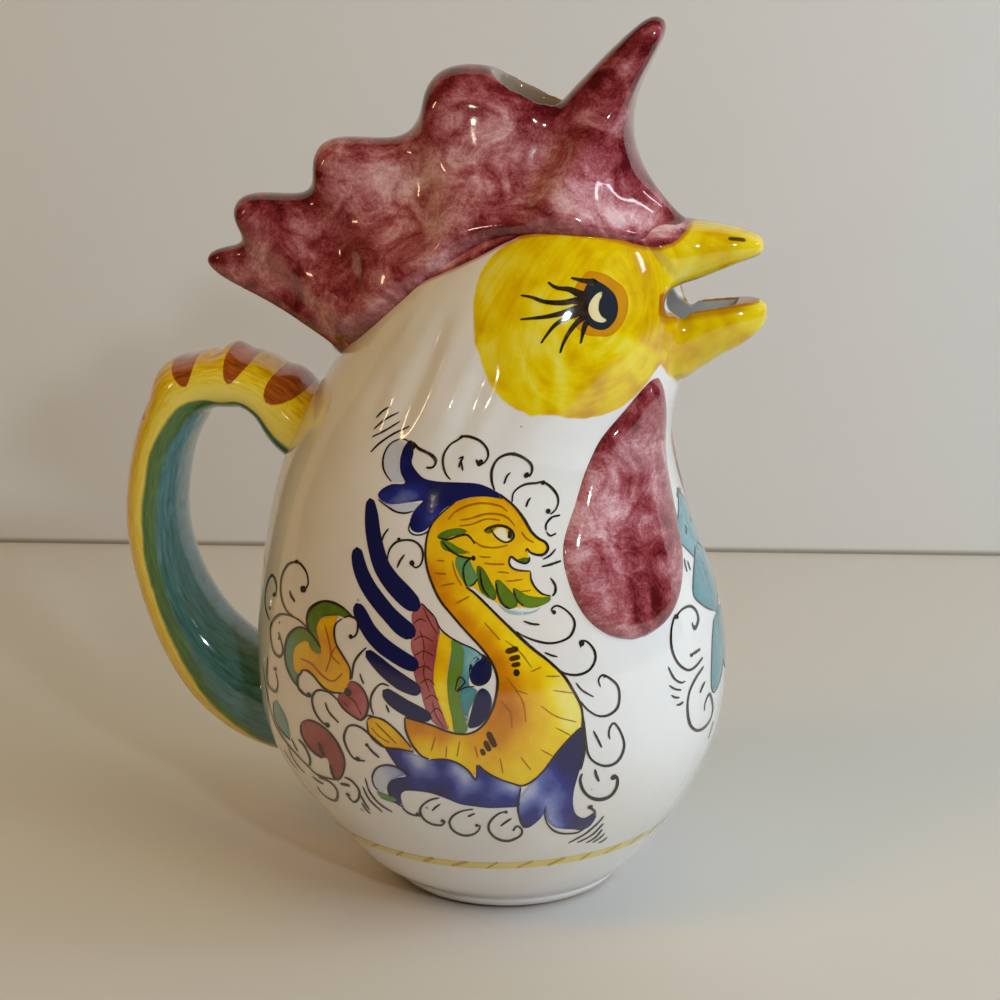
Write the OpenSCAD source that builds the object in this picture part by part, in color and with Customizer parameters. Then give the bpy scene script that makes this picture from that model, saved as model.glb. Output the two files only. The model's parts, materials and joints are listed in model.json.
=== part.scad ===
// Chicken pitcher: a glazed ceramic jug in the shape of a hen's head on a full belly.
// The jug is filled through the hollow comb and pours through the open beak.
// Sizes are in millimetres. +Z is up, +X is toward the beak, and the origin is the
// centre of the foot on the table.

/* [Body] */
// Widest diameter of the belly
belly_d = 129; // [115:1:140]
// Height of the belly's widest point above the table
belly_z = 62; // [54:1:70]
// Distance that the belly's centre sits behind the foot's centre
belly_lean = 4; // [0:0.5:7]
// Length of the neck from front to back at its narrowest
neck_l = 101; // [92:1:108]
// Width of the neck from side to side at its narrowest
neck_w = 98; // [90:1:106]
// Height of the neck's narrowest point
neck_z = 127; // [120:1:134]
// Distance that the neck's centre sits behind the foot's centre
neck_lean = 6.5; // [3:0.5:9]
// Wall thickness of the body
body_wall = 4.5; // [3.5:0.5:6]
// Thickness of the floor inside the body
floor_t = 5; // [4:0.5:8]

/* [Foot] */
// Outer diameter of the foot ring where it rests on the table
foot_d = 57; // [52:1:62]
// Height of the foot ring
foot_h = 4; // [3:0.5:6]
// Width of the flat that rests on the table
foot_flat_w = 5; // [3:0.5:8]
// Distance that the foot ring spreads from the table up to the body
foot_spread = 4.5; // [3:0.25:6]

/* [Head] */
// Height of the head from the neck to its crown
head_h = 66; // [60:1:70]
// Distance that the crown's centre comes forward of the neck's centre
head_reach = 25.5; // [20:0.5:28]

/* [Comb] */
// Length of the comb from its rear tip to the brow
comb_l = 132; // [122:1:138]
// Height of the comb from its heel to the tip of the front spike
comb_h = 92; // [84:1:98]
// Thickness of the comb's rounded edge at the lobes
comb_edge = 15; // [13:0.5:17]
// Amount that the comb's rolled lower edge stands out from the head
comb_ledge = 1.5; // [0.5:0.25:2.5]
// Wall thickness of the comb
comb_wall = 4; // [3:0.25:5]

/* [Fill mouth] */
// Length of the fill mouth along the comb
fill_l = 27; // [22:1:30]
// Width of the fill mouth across the comb
fill_w = 15; // [12:0.5:16]

/* [Beak] */
// Length of the beak in front of the head
beak_l = 21; // [18:0.5:24]
// Width of the beak at its root
beak_w = 20; // [18:0.5:23]
// Height of the upper beak at its root
upper_beak_h = 17.5; // [15:0.5:19]
// Height of the lower beak at its root
lower_beak_h = 20; // [17:0.5:22]
// Height of the mouth's corner above the neck's narrowest point
mouth_rise = 38.5; // [36:0.5:40]
// Distance that the mouth's corner cuts back into the head
mouth_cut_back = 4.5; // [3:0.5:6]
// Gap between the two beaks at their tips
gape = 11.5; // [8:0.5:13]
// Wall thickness of the beak
beak_wall = 3.5; // [3:0.25:4.5]

/* [Wattles] */
// Height of the wattles' top above the neck's narrowest point
wattle_rise = 22; // [18:0.5:24]
// Length of a wattle down the neck
wattle_l = 65; // [54:1:68]
// Width of a wattle at its round lower end
wattle_w = 45; // [34:1:46]
// Amount that a wattle stands out from the neck
wattle_t = 3.5; // [2.5:0.25:5]
// Angle round the neck from the beak to the middle of the right wattle
wattle_turn = 33; // [32:1:42]
// Angle by which the hand-set left wattle sits further round than the right one
wattle_offset = 13; // [0:1:16]

/* [Handle] */
// Thickness of the handle
handle_t = 15.4; // [12:0.2:17]
// Width of the handle
handle_w = 27; // [22:0.5:30]
// Distance from the foot's centre to the back of the handle
handle_reach = 107.3; // [100:0.5:112]
// Height of the top of the handle above the table
handle_top = 145.5; // [140:0.5:150]
// Height above the table of the middle of the handle's lower root
handle_low = 40; // [34:0.5:46]
// Height of the knuckles along the top of the handle
knuckle = 1.2; // [0.4:0.1:1.6]

/* [Hidden] */
// Length by which a cut runs past the surface that it opens
overrun = 2;
// Points round the body, round the handle and across the comb's side
body_sides = 52;
handle_sides = 16;
beak_sides = 20;
belly_r = belly_d / 2;
foot_r = foot_d / 2;
base_r = foot_r + foot_spread;
crown_z = neck_z + head_h;
mouth_z = neck_z + mouth_rise;

// Belly below its widest point: height and swell, as shares from the foot to the belly
lower_shares = [[0, 0], [0.1, 0.235], [0.28, 0.49], [0.5, 0.766], [0.73, 0.947]];
// Shoulder from the belly to the neck: height, draw-in and lean, as shares
shoulder_shares = [[0, 0, 0], [0.28, 0.1, 0.3], [0.58, 0.44, 1.1], [0.78, 0.7, 1.45],
                   [0.9, 0.86, 1.38], [1, 1, 1]];
// Head from the neck to the crown: height, length, width and reach, as shares
head_shares = [[0.11, 0.972, 0.972, 0.08], [0.2, 0.952, 0.946, 0.18], [0.3, 0.918, 0.908, 0.29],
               [0.41, 0.883, 0.857, 0.4], [0.53, 0.838, 0.806, 0.5],
               [0.65, 0.772, 0.735, 0.61], [0.77, 0.673, 0.633, 0.73],
               [0.86, 0.554, 0.53, 0.84], [0.94, 0.406, 0.378, 0.94], [1, 0.06, 0.06, 1]];

// Stations of the body: height, half length, half width and centre along X
stations = concat(
    [for (s = lower_shares)
        let (r = base_r + (belly_r - base_r) * s[1])
        [foot_h + (belly_z - foot_h) * s[0], r, r, -belly_lean * s[1]]],
    [for (s = shoulder_shares)
        [belly_z + (neck_z - belly_z) * s[0],
         belly_r + (neck_l / 2 - belly_r) * s[1],
         belly_r + (neck_w / 2 - belly_r) * s[1],
         -belly_lean - (neck_lean - belly_lean) * s[2]]],
    [for (s = head_shares)
        [neck_z + head_h * s[0], neck_l / 2 * s[1], neck_w / 2 * s[2],
         -neck_lean + head_reach * s[3]]]);

// Slope of a table's column at row i, from the rows on either side
function slope(t, i, c) =
    let (a = max(i - 1, 0), b = min(i + 1, len(t) - 1))
    (t[b][c] - t[a][c]) / (t[b][0] - t[a][0]);

// Row of the table in which x lies
function row_of(t, x, i = 0) =
    (i >= len(t) - 2 || x < t[i + 1][0]) ? i : row_of(t, x, i + 1);

// Smooth value of column c at x, by a cubic between the two nearest rows
function smooth_at(t, x, c) =
    let (i = row_of(t, x),
         d = t[i + 1][0] - t[i][0],
         u = (x - t[i][0]) / d,
         m0 = slope(t, i, c) * d,
         m1 = slope(t, i + 1, c) * d,
         p0 = t[i][c],
         p1 = t[i + 1][c])
    p0 + u * (m0 + u * (3 * (p1 - p0) - 2 * m0 - m1 + u * (m0 + m1 - 2 * (p1 - p0))));

// Smooth curve through a list of rows, with n steps between one row and the next
function curve(rows, n) =
    let (t = [for (i = [0:len(rows) - 1]) concat([i], rows[i])],
         last = len(rows) - 1)
    [for (k = [0:n * last])
        [for (c = [1:len(rows[0])]) smooth_at(t, k / n, c)]];

// Point of the body's surface at a height and an azimuth from the beak, moved out by a distance
function skin(z, az, out = 0) =
    [smooth_at(stations, z, 3) + (smooth_at(stations, z, 1) + out) * cos(az),
     (smooth_at(stations, z, 2) + out) * sin(az),
     z];

// Half width of the head at a height, at a place along X
function head_half(x, z) =
    let (u = (x - smooth_at(stations, z, 3)) / smooth_at(stations, z, 1))
    smooth_at(stations, z, 2) * sqrt(max(0, 1 - u * u));

// Faces that join rings of n points into a closed solid, with a fan at each end
function loft_faces(rings, n) =
    concat(
        [for (i = [0:rings - 2], j = [0:n - 1], k = [0, 1])
            let (a = i * n + j, b = i * n + (j + 1) % n)
            k == 0 ? [a, b, a + n] : [b, b + n, a + n]],
        [for (j = [0:n - 1]) [(j + 1) % n, j, rings * n]],
        [for (j = [0:n - 1])
            [(rings - 1) * n + j, (rings - 1) * n + (j + 1) % n, rings * n + 1]]);

function mean(ring) = [for (c = [0:2]) [for (p = ring) 1] * [for (p = ring) p[c]] / len(ring)];

// Solid through a list of rings
module loft(rings) {
    points = concat([for (r = rings, p = r) p], [mean(rings[0]), mean(rings[len(rings) - 1])]);
    polyhedron(points = points, faces = loft_faces(len(rings), len(rings[0])), convexity = 6);
}

// The body's form, drawn in from its surface by a distance, or only its rings between two shares
// of its height
module body_form(inset = 0, low = 0, steps = 28, sides = body_sides, first = 0, last = 1) {
    bottom = foot_h + low;
    top = crown_z - inset;
    loft([for (i = [floor(steps * first):ceil(steps * last)])
        let (z = bottom + (top - bottom) * i / steps,
             lean_in = min(1.6, norm([1, (smooth_at(stations, z - overrun, 1)
                 - smooth_at(stations, z + overrun, 1)) / (2 * overrun)])),
             a = smooth_at(stations, z, 1) - inset * lean_in,
             b = smooth_at(stations, z, 2) - inset * lean_in,
             c = smooth_at(stations, z, 3),
             least = neck_w / 2 * head_shares[len(head_shares) - 1][2])
        [for (j = [0:sides - 1])
            let (az = -360 * j / sides)
            [c + max(a, least) * cos(az), max(b, least) * sin(az), z]]]);
}

// The comb sits on the head from its heel at the back, on one of the head's rows, to the brow
// over the root of the beak
beak_root_x = skin(mouth_z, 0)[0];
heel_share = head_shares[2];
brow_share = 0.04;
heel_x = -neck_lean + head_reach * heel_share[3] - neck_l / 2 * heel_share[1];
heel_z = neck_z + head_h * heel_share[0];
brow_x = beak_root_x + beak_l * brow_share;
// Seat of the comb from its heel to the brow: place and rise, as shares
seat_shares = [[0, 0], [0.0625, 0.055], [0.118, 0.1], [0.229, 0.205], [0.3125, 0.285],
               [0.444, 0.378], [0.556, 0.415], [0.764, 0.418], [0.882, 0.402], [0.958, 0.41],
               [1, 0.418]];

function seat_point(share) =
    [heel_x + (brow_x - heel_x) * share, heel_z + comb_h * smooth_at(seat_shares, share, 1)];

// Outline of the comb from heel to brow: place along the comb, height, foot of the rib on the
// seat, thickness of the edge and depth of the hollow, as shares
comb_shares = [
    [0.246, 0.04, 0, 0.35, 0.2], [0.196, 0.112, 0.03, 0.5, 0.2], [0.109, 0.165, 0.045, 0.6, 0.25],
    [0.027, 0.214, 0.055, 0.62, 0.3], [-0.005, 0.258, 0.06, 0.5, 0.3],
    [0.019, 0.289, 0.065, 0.6, 0.35], [0.071, 0.31, 0.073, 0.8, 0.45],
    [0.074, 0.348, 0.085, 0.9, 0.55], [0.057, 0.397, 0.1, 0.9, 0.6],
    [0.071, 0.443, 0.115, 0.9, 0.62], [0.112, 0.461, 0.13, 0.95, 0.65],
    [0.169, 0.461, 0.15, 1, 0.7], [0.211, 0.47, 0.165, 1, 0.74], [0.228, 0.505, 0.18, 1, 0.78],
    [0.23, 0.571, 0.2, 1, 0.78], [0.25, 0.616, 0.22, 1, 0.8], [0.294, 0.634, 0.25, 1.05, 0.82],
    [0.385, 0.635, 0.3, 1.1, 0.84], [0.428, 0.658, 0.33, 1.15, 0.86],
    [0.453, 0.713, 0.35, 1.25, 0.88], [0.465, 0.783, 0.37, 1.35, 0.9],
    [0.491, 0.829, 0.39, 1.45, 0.91], [0.533, 0.85, 0.42, 1.55, 0.91],
    [0.594, 0.848, 0.445, 1.6, 0.91], [0.655, 0.827, 0.485, 1.6, 0.9],
    [0.707, 0.795, 0.525, 1.5, 0.89], [0.738, 0.763, 0.552, 1.35, 0.86],
    [0.76, 0.795, 0.57, 1.2, 0.8], [0.805, 0.863, 0.585, 1.05, 0.72],
    [0.847, 0.924, 0.597, 0.95, 0.64], [0.889, 0.978, 0.608, 0.85, 0.58],
    [0.916, 1, 0.615, 0.7, 0.55], [0.938, 0.992, 0.622, 0.7, 0.55], [0.941, 0.957, 0.63, 0.8, 0.56],
    [0.922, 0.897, 0.642, 0.95, 0.58], [0.89, 0.803, 0.71, 1.1, 0.62],
    [0.877, 0.717, 0.77, 1.2, 0.64], [0.881, 0.648, 0.825, 1.25, 0.62],
    [0.9, 0.578, 0.877, 1.25, 0.55], [0.933, 0.51, 0.93, 1.2, 0.45], [0.978, 0.442, 1, 1, 0.3]];

// Ribs of the comb: foot on the seat, point on the outline, half widths and hollow's depth
function comb_ribs(n) = [for (r = curve(comb_shares, n))
    let (share = min(max(r[2], 0), 1),
         foot = seat_point(share),
         tip = [brow_x - comb_l * (1 - r[0]), heel_z + comb_h * r[1]])
    [foot, tip,
     max(head_half(foot[0], foot[1]) + comb_ledge, comb_edge / 2 * min(r[3], 1) + comb_ledge),
     comb_edge / 2 * r[3], r[4]]];

// Rise along a rib and spread of its side, from the seat to the start of the rounded edge
side_shares = [[0, 0.95], [0.07, 1.02], [0.28, 0.8], [0.6, 0.28], [1, 0]];
// Angles of the rounded edge
edge_turns = [25, 50, 72];

// One side of a rib's section, from the seat up to the outline; inset gives the hollow's form
function rib_side(rib, inset) =
    let (full = rib[1] - rib[0],
         height = norm(full),
         dir = full / height,
         reach = inset > 0 ? height * rib[4] : height,
         base = max(rib[2] - inset, inset / 2),
         edge = min(max(rib[3] - inset, inset / 2), reach * 0.45),
         start = reach - edge)
    concat(
        [for (s = side_shares)
            [rib[0] + dir * (start * s[0] - (s[0] == 0 && inset > 0 ? overrun : 0)),
             edge + (base - edge) * s[1]]],
        [for (t = edge_turns) [rib[0] + dir * (start + edge * sin(t)), edge * cos(t)]]);

function rib_ring(rib, inset) =
    let (side = rib_side(rib, inset),
         height = norm(rib[1] - rib[0]),
         reach = inset > 0 ? height * rib[4] : height,
         top = rib[0] + (rib[1] - rib[0]) / height * reach)
    concat(
        [for (p = side) [p[0][0], -p[1], p[0][1]]],
        [[top[0], 0, top[1]]],
        [for (i = [len(side) - 1:-1:0]) [side[i][0][0], side[i][1], side[i][0][1]]]);

module comb_form(inset = 0) {
    loft([for (rib = comb_ribs(inset > 0 ? 1 : 2)) rib_ring(rib, inset)]);
}

// Everything above the seat, to trim the head and the beak
module above_seat() {
    seat = [for (rib = comb_ribs(2)) rib[0]];
    high = crown_z + comb_h;
    rotate([90, 0, 0])
        translate([0, 0, -neck_w])
            linear_extrude(neck_w * 2)
                polygon(concat([[seat[0][0] - neck_l, seat[0][1]]], seat,
                    [[seat[0][0] + comb_l * 2, seat[len(seat) - 1][1]],
                     [seat[0][0] + comb_l * 2, high], [seat[0][0] - neck_l, high]]));
}

module body_shell() {
    color([0.94, 0.93, 0.9])
        difference() {
            body_form();
            body_form(inset = body_wall, low = floor_t, steps = 18, sides = 36);
            above_seat();
            palate();
            trough();
            mouth_cut();
        }
}

module foot_ring() {
    color([0.86, 0.84, 0.8])
        rotate_extrude($fn = 96)
            polygon([[foot_r - foot_flat_w, 0], [foot_r, 0],
                     [foot_r + foot_spread * 0.6, foot_h * 0.4],
                     [base_r, foot_h], [foot_r - foot_flat_w, foot_h]]);
}

// Fill mouth: a slot with round ends through the crest of the front lobe
fill_x_share = 0.62;
module fill_cut() {
    x = brow_x - comb_l * (1 - fill_x_share);
    low = heel_z + comb_h * 0.5;
    for (end = [-1, 1])
        translate([x + end * (fill_l - fill_w) / 2, 0, low])
            cylinder(d = fill_w, h = comb_h * 0.5, $fn = 32);
    translate([x - (fill_l - fill_w) / 2, -fill_w / 2, low])
        cube([fill_l - fill_w, fill_w, comb_h * 0.5]);
}

module comb_shell() {
    color([0.56, 0.2, 0.26])
        difference() {
            comb_form();
            comb_form(inset = comb_wall);
            fill_cut();
        }
}

// Upper beak from inside the head to its tip: place along the beak, width, height of the top
// and rise of the lip over the mouth, as shares
upper_beak_shares = [[-0.58, 1.95, 1.06, 0.2], [-0.2, 1.4, 1.01, 0.32], [0.09, 1.06, 0.98, 0.46],
                     [0.37, 0.86, 0.94, 0.68], [0.66, 0.7, 0.88, 0.92], [0.85, 0.5, 0.8, 1.06],
                     [0.91, 0.36, 0.75, 1.12], [0.935, 0.15, 0.69, 1.2]];
// Lower beak: place along the beak, width, depth of the underside and rise of the lip
lower_beak_shares = [[-0.58, 1.9, 1.3, -0.5], [-0.2, 1.38, 1.02, -0.32], [0.09, 1.06, 0.81, -0.11],
                     [0.42, 0.87, 0.55, 0.04], [0.7, 0.7, 0.38, 0.1], [0.88, 0.52, 0.22, 0.07],
                     [0.96, 0.36, 0.12, 0], [1, 0.15, 0.03, -0.1]];

// Ring of a beak: an oval with full cheeks between two heights
function beak_ring(x, half, low, high) =
    [for (j = [0:beak_sides - 1])
        let (a = -360 * j / beak_sides, c = cos(a), s = sin(a))
        [x,
         half * sign(c) * pow(abs(c), 0.8),
         (low + high) / 2 + (high - low) / 2 * sign(s) * pow(abs(s), 0.8)]];

function upper_ring(r, inset) =
    let (lip = mouth_z + gape * r[3],
         top = mouth_z + gape * upper_beak_shares[1][3] + upper_beak_h * r[2])
    beak_ring(beak_root_x + beak_l * r[0], beak_w / 2 * r[1] - inset,
              lip + inset, top - inset);

function lower_ring(r, inset) =
    let (lip = mouth_z + gape * r[3],
         low = mouth_z + gape * lower_beak_shares[1][3] - lower_beak_h * r[2])
    beak_ring(beak_root_x + beak_l * r[0], beak_w / 2 * r[1] - inset,
              low + inset, lip + (inset > 0 ? gape / 2 : 0));

// Places along the beak where the hollows of its two halves end
palate_share = 0.5;
trough_share = 0.66;

// Rows of a beak's table, up to the place where its hollow ends
function rows_to(t, x) = [for (r = curve(t, 2)) if (r[0] <= x) r];

module upper_form() { loft([for (r = curve(upper_beak_shares, 2)) upper_ring(r, 0)]); }
module lower_form() { loft([for (r = curve(lower_beak_shares, 2)) lower_ring(r, 0)]); }
module palate() { loft([for (r = rows_to(upper_beak_shares, palate_share)) upper_ring(r, beak_wall)]); }
module trough() { loft([for (r = rows_to(lower_beak_shares, trough_share)) lower_ring(r, beak_wall)]); }

// Slot between the beaks, round at the mouth's corner and widening to the tips
module mouth_cut() {
    corner_r = gape * 0.32;
    tip_r = gape * 0.45;
    across = beak_w * 1.8;
    hull() {
        translate([beak_root_x - mouth_cut_back + corner_r, 0, mouth_z])
            rotate([90, 0, 0])
                cylinder(r = corner_r, h = across, center = true, $fn = 32);
        translate([beak_root_x + beak_l, 0, mouth_z + gape * 0.58])
            rotate([90, 0, 0])
                cylinder(r = tip_r, h = across, center = true, $fn = 32);
    }
}

module upper_beak() {
    color([0.93, 0.76, 0.12])
        difference() {
            upper_form();
            palate();
            mouth_cut();
            body_form(first = 0.6);
            above_seat();
        }
}

module lower_beak() {
    color([0.93, 0.76, 0.12])
        difference() {
            lower_form();
            trough();
            mouth_cut();
            body_form(first = 0.6);
        }
}

// Wattle from its top to its round end: place, turn round the neck, width and thickness, as shares
wattle_shares = [[0, 0.76, 0.06, 0.35], [0.04, 0.79, 0.2, 0.6], [0.11, 0.82, 0.38, 0.85],
                 [0.2, 0.84, 0.585, 1], [0.3, 0.84, 0.72, 1], [0.44, 0.88, 0.86, 1],
                 [0.6, 0.98, 1, 1], [0.73, 1.03, 0.98, 1], [0.87, 1.1, 0.78, 0.95],
                 [0.955, 1.15, 0.46, 0.75], [1, 1.17, 0.1, 0.4]];
// Swell of the wattle from one side to the other, as shares
swell_shares = [[-1, 0], [-0.93, 0.45], [-0.78, 0.75], [-0.5, 0.93], [0, 1], [0.5, 0.93],
                [0.78, 0.75], [0.93, 0.45], [1, 0]];

module wattle(side, turn) {
    top = neck_z + wattle_rise;
    difference() {
        loft([for (r = curve(wattle_shares, 2))
            let (z = top - wattle_l * r[0],
                 half = wattle_w / 2 * r[2] / smooth_at(stations, z, 1) * 180 / PI,
                 middle = wattle_turn * r[1] + turn)
            concat(
                [for (s = swell_shares)
                    skin(z, side * middle + half * s[0], wattle_t * r[3] * s[1])],
                [for (v = [1, 0, -1])
                    skin(z, side * middle + half * v, -wattle_t / 2)])]);
        body_form(first = 0.38, last = 0.82);
    }
}

module wattle_right() { color([0.62, 0.27, 0.33]) wattle(-1, 0); }
module wattle_left() { color([0.62, 0.27, 0.33]) wattle(1, wattle_offset); }

// Middle line of the handle from the neck over the top to the belly: distance back, height,
// thickness and width, as shares
handle_shares = [[-0.21, 0.84, 1.35, 1.15], [0, 0.895, 1.3, 1.1], [0.164, 0.958, 1, 1],
                 [0.305, 0.995, 0.97, 1], [0.446, 1, 1, 1], [0.587, 0.995, 1.02, 1],
                 [0.728, 0.965, 1.05, 1], [0.833, 0.9, 1.05, 1], [0.925, 0.805, 1, 1],
                 [0.98, 0.695, 1, 1], [1, 0.593, 1, 1], [0.972, 0.48, 1.02, 1],
                 [0.885, 0.355, 1.12, 1.02], [0.75, 0.24, 1.32, 1.05], [0.575, 0.147, 1.55, 1.1],
                 [0.375, 0.085, 1.7, 1.15], [0.165, 0.05, 1.75, 1.18], [-0.07, 0.03, 1.7, 1.2]];
// Place of one knuckle, distance from one to the next, and height above which they stand
knuckle_share = 0.446;
knuckle_pitch_share = 0.3;
knuckle_low_share = 0.9;

module handle() {
    neck_back = -skin(neck_z, 180)[0];
    path = [for (r = curve(handle_shares, 2))
        [-neck_back - (handle_reach - handle_t / 2 - neck_back) * r[0],
         handle_low + (handle_top - handle_t / 2 - handle_low) * r[1],
         handle_t / 2 * r[2], handle_w / 2 * r[3],
         r[1] > knuckle_low_share
             ? knuckle * max(0, cos(360 * (r[0] - knuckle_share) / knuckle_pitch_share)) : 0]];
    last = len(path) - 1;
    color([0.9, 0.74, 0.16])
        difference() {
            loft([for (i = [0:last])
                let (a = path[max(i - 1, 0)], b = path[min(i + 1, last)],
                     run = [b[0] - a[0], b[1] - a[1]] / norm([b[0] - a[0], b[1] - a[1]]),
                     p = path[i])
                [for (j = [0:handle_sides - 1])
                    let (t = -360 * j / handle_sides,
                         c = sign(cos(t)) * pow(abs(cos(t)), 0.85),
                         s = sign(sin(t)) * pow(abs(sin(t)), 0.85),
                         out = c * p[2] + max(0, c) * p[4])
                    [p[0] + run[1] * out, p[3] * s, p[1] - run[0] * out]]]);
            body_form();
            comb_form();
        }
}

body_shell();
foot_ring();
comb_shell();
upper_beak();
lower_beak();
wattle_right();
wattle_left();
handle();
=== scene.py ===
import bpy, bmesh, json, math
import numpy as np
from mathutils import Matrix, Vector

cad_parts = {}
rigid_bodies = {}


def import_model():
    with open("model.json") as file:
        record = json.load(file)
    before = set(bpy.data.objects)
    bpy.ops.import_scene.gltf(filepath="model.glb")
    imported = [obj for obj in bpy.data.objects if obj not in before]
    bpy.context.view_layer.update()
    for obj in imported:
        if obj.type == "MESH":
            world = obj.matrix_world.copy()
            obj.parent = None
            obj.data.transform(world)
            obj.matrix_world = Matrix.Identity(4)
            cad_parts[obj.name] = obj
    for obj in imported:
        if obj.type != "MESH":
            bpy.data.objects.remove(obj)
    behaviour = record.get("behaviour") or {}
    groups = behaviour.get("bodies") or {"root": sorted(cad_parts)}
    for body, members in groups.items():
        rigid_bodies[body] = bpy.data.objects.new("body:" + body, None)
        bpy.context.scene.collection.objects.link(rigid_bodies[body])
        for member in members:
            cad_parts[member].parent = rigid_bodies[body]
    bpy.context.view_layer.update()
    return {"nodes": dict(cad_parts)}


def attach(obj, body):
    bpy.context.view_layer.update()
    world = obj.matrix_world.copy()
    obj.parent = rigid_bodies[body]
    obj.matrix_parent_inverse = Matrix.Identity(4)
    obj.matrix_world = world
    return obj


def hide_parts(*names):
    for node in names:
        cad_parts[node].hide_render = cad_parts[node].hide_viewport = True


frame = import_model()
print("frame loaded:", ", ".join(frame["nodes"]))

# All tables below are in millimetres and angles in degrees; a mesh is turned to metres as it is made
mm = 0.001

# Camera, as the photograph was taken
camera = dict(place=(145.5, -684.7, 320), turn=12.14, tilt=16.9, lens=96.98, sensor=36, pixels=1000)
camera["reach"] = camera["lens"] / camera["sensor"] * camera["pixels"]  # pixels aside for as much aside as ahead

def cameraAxes():
    turn, tilt = math.radians(camera["turn"]), math.radians(camera["tilt"])
    ahead = Vector((-math.sin(turn) * math.cos(tilt), math.cos(turn) * math.cos(tilt), -math.sin(tilt)))
    right = Vector((math.cos(turn), math.sin(turn), 0))
    return right, right.cross(ahead), ahead

def sightLines(pixels):  # where the camera stands, and its lines through pixels of its picture
    right, up, ahead = (np.array(a) for a in cameraAxes())
    p, half, reach = np.asarray(pixels, float), camera["pixels"] / 2, camera["reach"]
    run = ahead + np.outer((p[:, 0] - half) / reach, right) + np.outer((half - p[:, 1]) / reach, up)
    return np.array(camera["place"], float), run

def pixelsOf(points):  # where points show in the camera's picture
    off = points - np.array(camera["place"])
    across, up, ahead = (off @ np.array(a) for a in cameraAxes())
    return np.stack([across, up], 1) / ahead[:, None] * (camera["reach"], -camera["reach"]) + camera["pixels"] / 2

def makeCamera():
    right, up, ahead = cameraAxes()
    data = bpy.data.cameras.new("studioCamera")
    data.lens, data.sensor_width = camera["lens"], camera["sensor"]
    holder = bpy.data.objects.new("studioCamera", data)
    bpy.context.collection.objects.link(holder)
    turn = Matrix((right, up, -ahead)).transposed().to_4x4()
    holder.matrix_world = Matrix.Translation(Vector(camera["place"]) * mm) @ turn
    bpy.context.scene.camera = holder

makeCamera()
print("camera set")

# Form of the body
# height, half length, half width and centre along X, from the foot to the crown
bodyRows = [
    (4, 33, 33, 0), (9.8, 40.4, 40.4, -0.94), (20.24, 48.44, 48.44, -1.96), (33, 57.13, 57.13, -3.06),
    (46.34, 62.83, 62.83, -3.79), (62, 64.5, 64.5, -4), (80.2, 63.1, 62.95, -4.75), (99.7, 58.34, 57.68, -6.75),
    (112.7, 54.7, 53.65, -7.63), (120.5, 52.46, 51.17, -7.45), (127, 50.5, 49, -6.5), (134.26, 49.09, 47.63, -4.46),
    (140.2, 48.08, 46.35, -1.91), (146.8, 46.36, 44.49, 0.9), (154.06, 44.59, 41.99, 3.7), (161.98, 42.32, 39.49, 6.25),
    (169.9, 38.99, 36.02, 9.06), (177.82, 33.99, 31.02, 12.12), (183.76, 27.98, 25.97, 14.92), (189.04, 20.5, 18.52, 17.47),
    (193, 3.03, 2.94, 19)]

def smoothTable(rows, places):  # cubic through the rows, at each place
    t = np.array(rows, float)
    x = t[:, 0]
    lowRow, highRow = np.maximum(np.arange(len(t)) - 1, 0), np.minimum(np.arange(len(t)) + 1, len(t) - 1)
    slope = (t[highRow, 1:] - t[lowRow, 1:]) / (x[highRow] - x[lowRow])[:, None]
    places = np.asarray(places, float)
    i = np.clip(np.searchsorted(x, places, side="right") - 1, 0, len(t) - 2)
    d = x[i + 1] - x[i]
    u = ((places - x[i]) / d)[:, None]
    m0, m1 = slope[i] * d[:, None], slope[i + 1] * d[:, None]
    p0, p1 = t[i, 1:], t[i + 1, 1:]
    return p0 + u * (m0 + u * (3 * (p1 - p0) - 2 * m0 - m1 + u * (m0 + m1 - 2 * (p1 - p0))))

form = dict(low=4, top=193, step=0.25, bell=5, reach=60, softFrom=22, softOver=14, softTo=182, softEnd=12)
fineZ = np.arange(form["low"], form["top"] + 0.01, form["step"])
fineRows = smoothTable(bodyRows, fineZ)
bell = np.exp(-(np.arange(-form["reach"], form["reach"] + 1) * form["step"] / form["bell"]) ** 2)
for k in range(3):  # a thrown wall has no steps between its stations
    padded = np.pad(fineRows[:, k], form["reach"], mode="reflect", reflect_type="odd")
    soft = np.convolve(padded, bell / bell.sum(), "same")[form["reach"]:-form["reach"]]
    up, down = (fineZ - form["softFrom"]) / form["softOver"], (form["softTo"] - fineZ) / form["softEnd"]
    fineRows[:, k] += (soft - fineRows[:, k]) * (np.clip(up, 0, 1) * np.clip(down, 0, 1))

def section(z):
    z = np.clip(z, form["low"], form["top"])
    return [np.interp(z, fineZ, fineRows[:, k]) for k in range(3)]

def skin(z, azimuth, out=0):  # points of the body; azimuth is from the beak, negative on the jug's right side
    halfLength, halfWidth, centre = section(z)
    a = np.radians(azimuth)
    return np.stack([centre + (halfLength + out) * np.cos(a), (halfWidth + out) * np.sin(a),
                     np.broadcast_to(z, np.shape(halfLength + a)) * 1.0], -1)

def azimuthOf(points):
    halfLength, halfWidth, centre = section(points[:, 2])
    return np.degrees(np.arctan2(points[:, 1] / halfWidth, (points[:, 0] - centre) / halfLength))

def heightOver(points):  # roughly how far points lie outside the body's surface
    halfLength, halfWidth, centre = section(points[:, 2])
    reach = np.hypot((points[:, 0] - centre) / halfLength, points[:, 1] / halfWidth)
    return (reach - 1) * (halfLength + halfWidth) / 2

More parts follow.
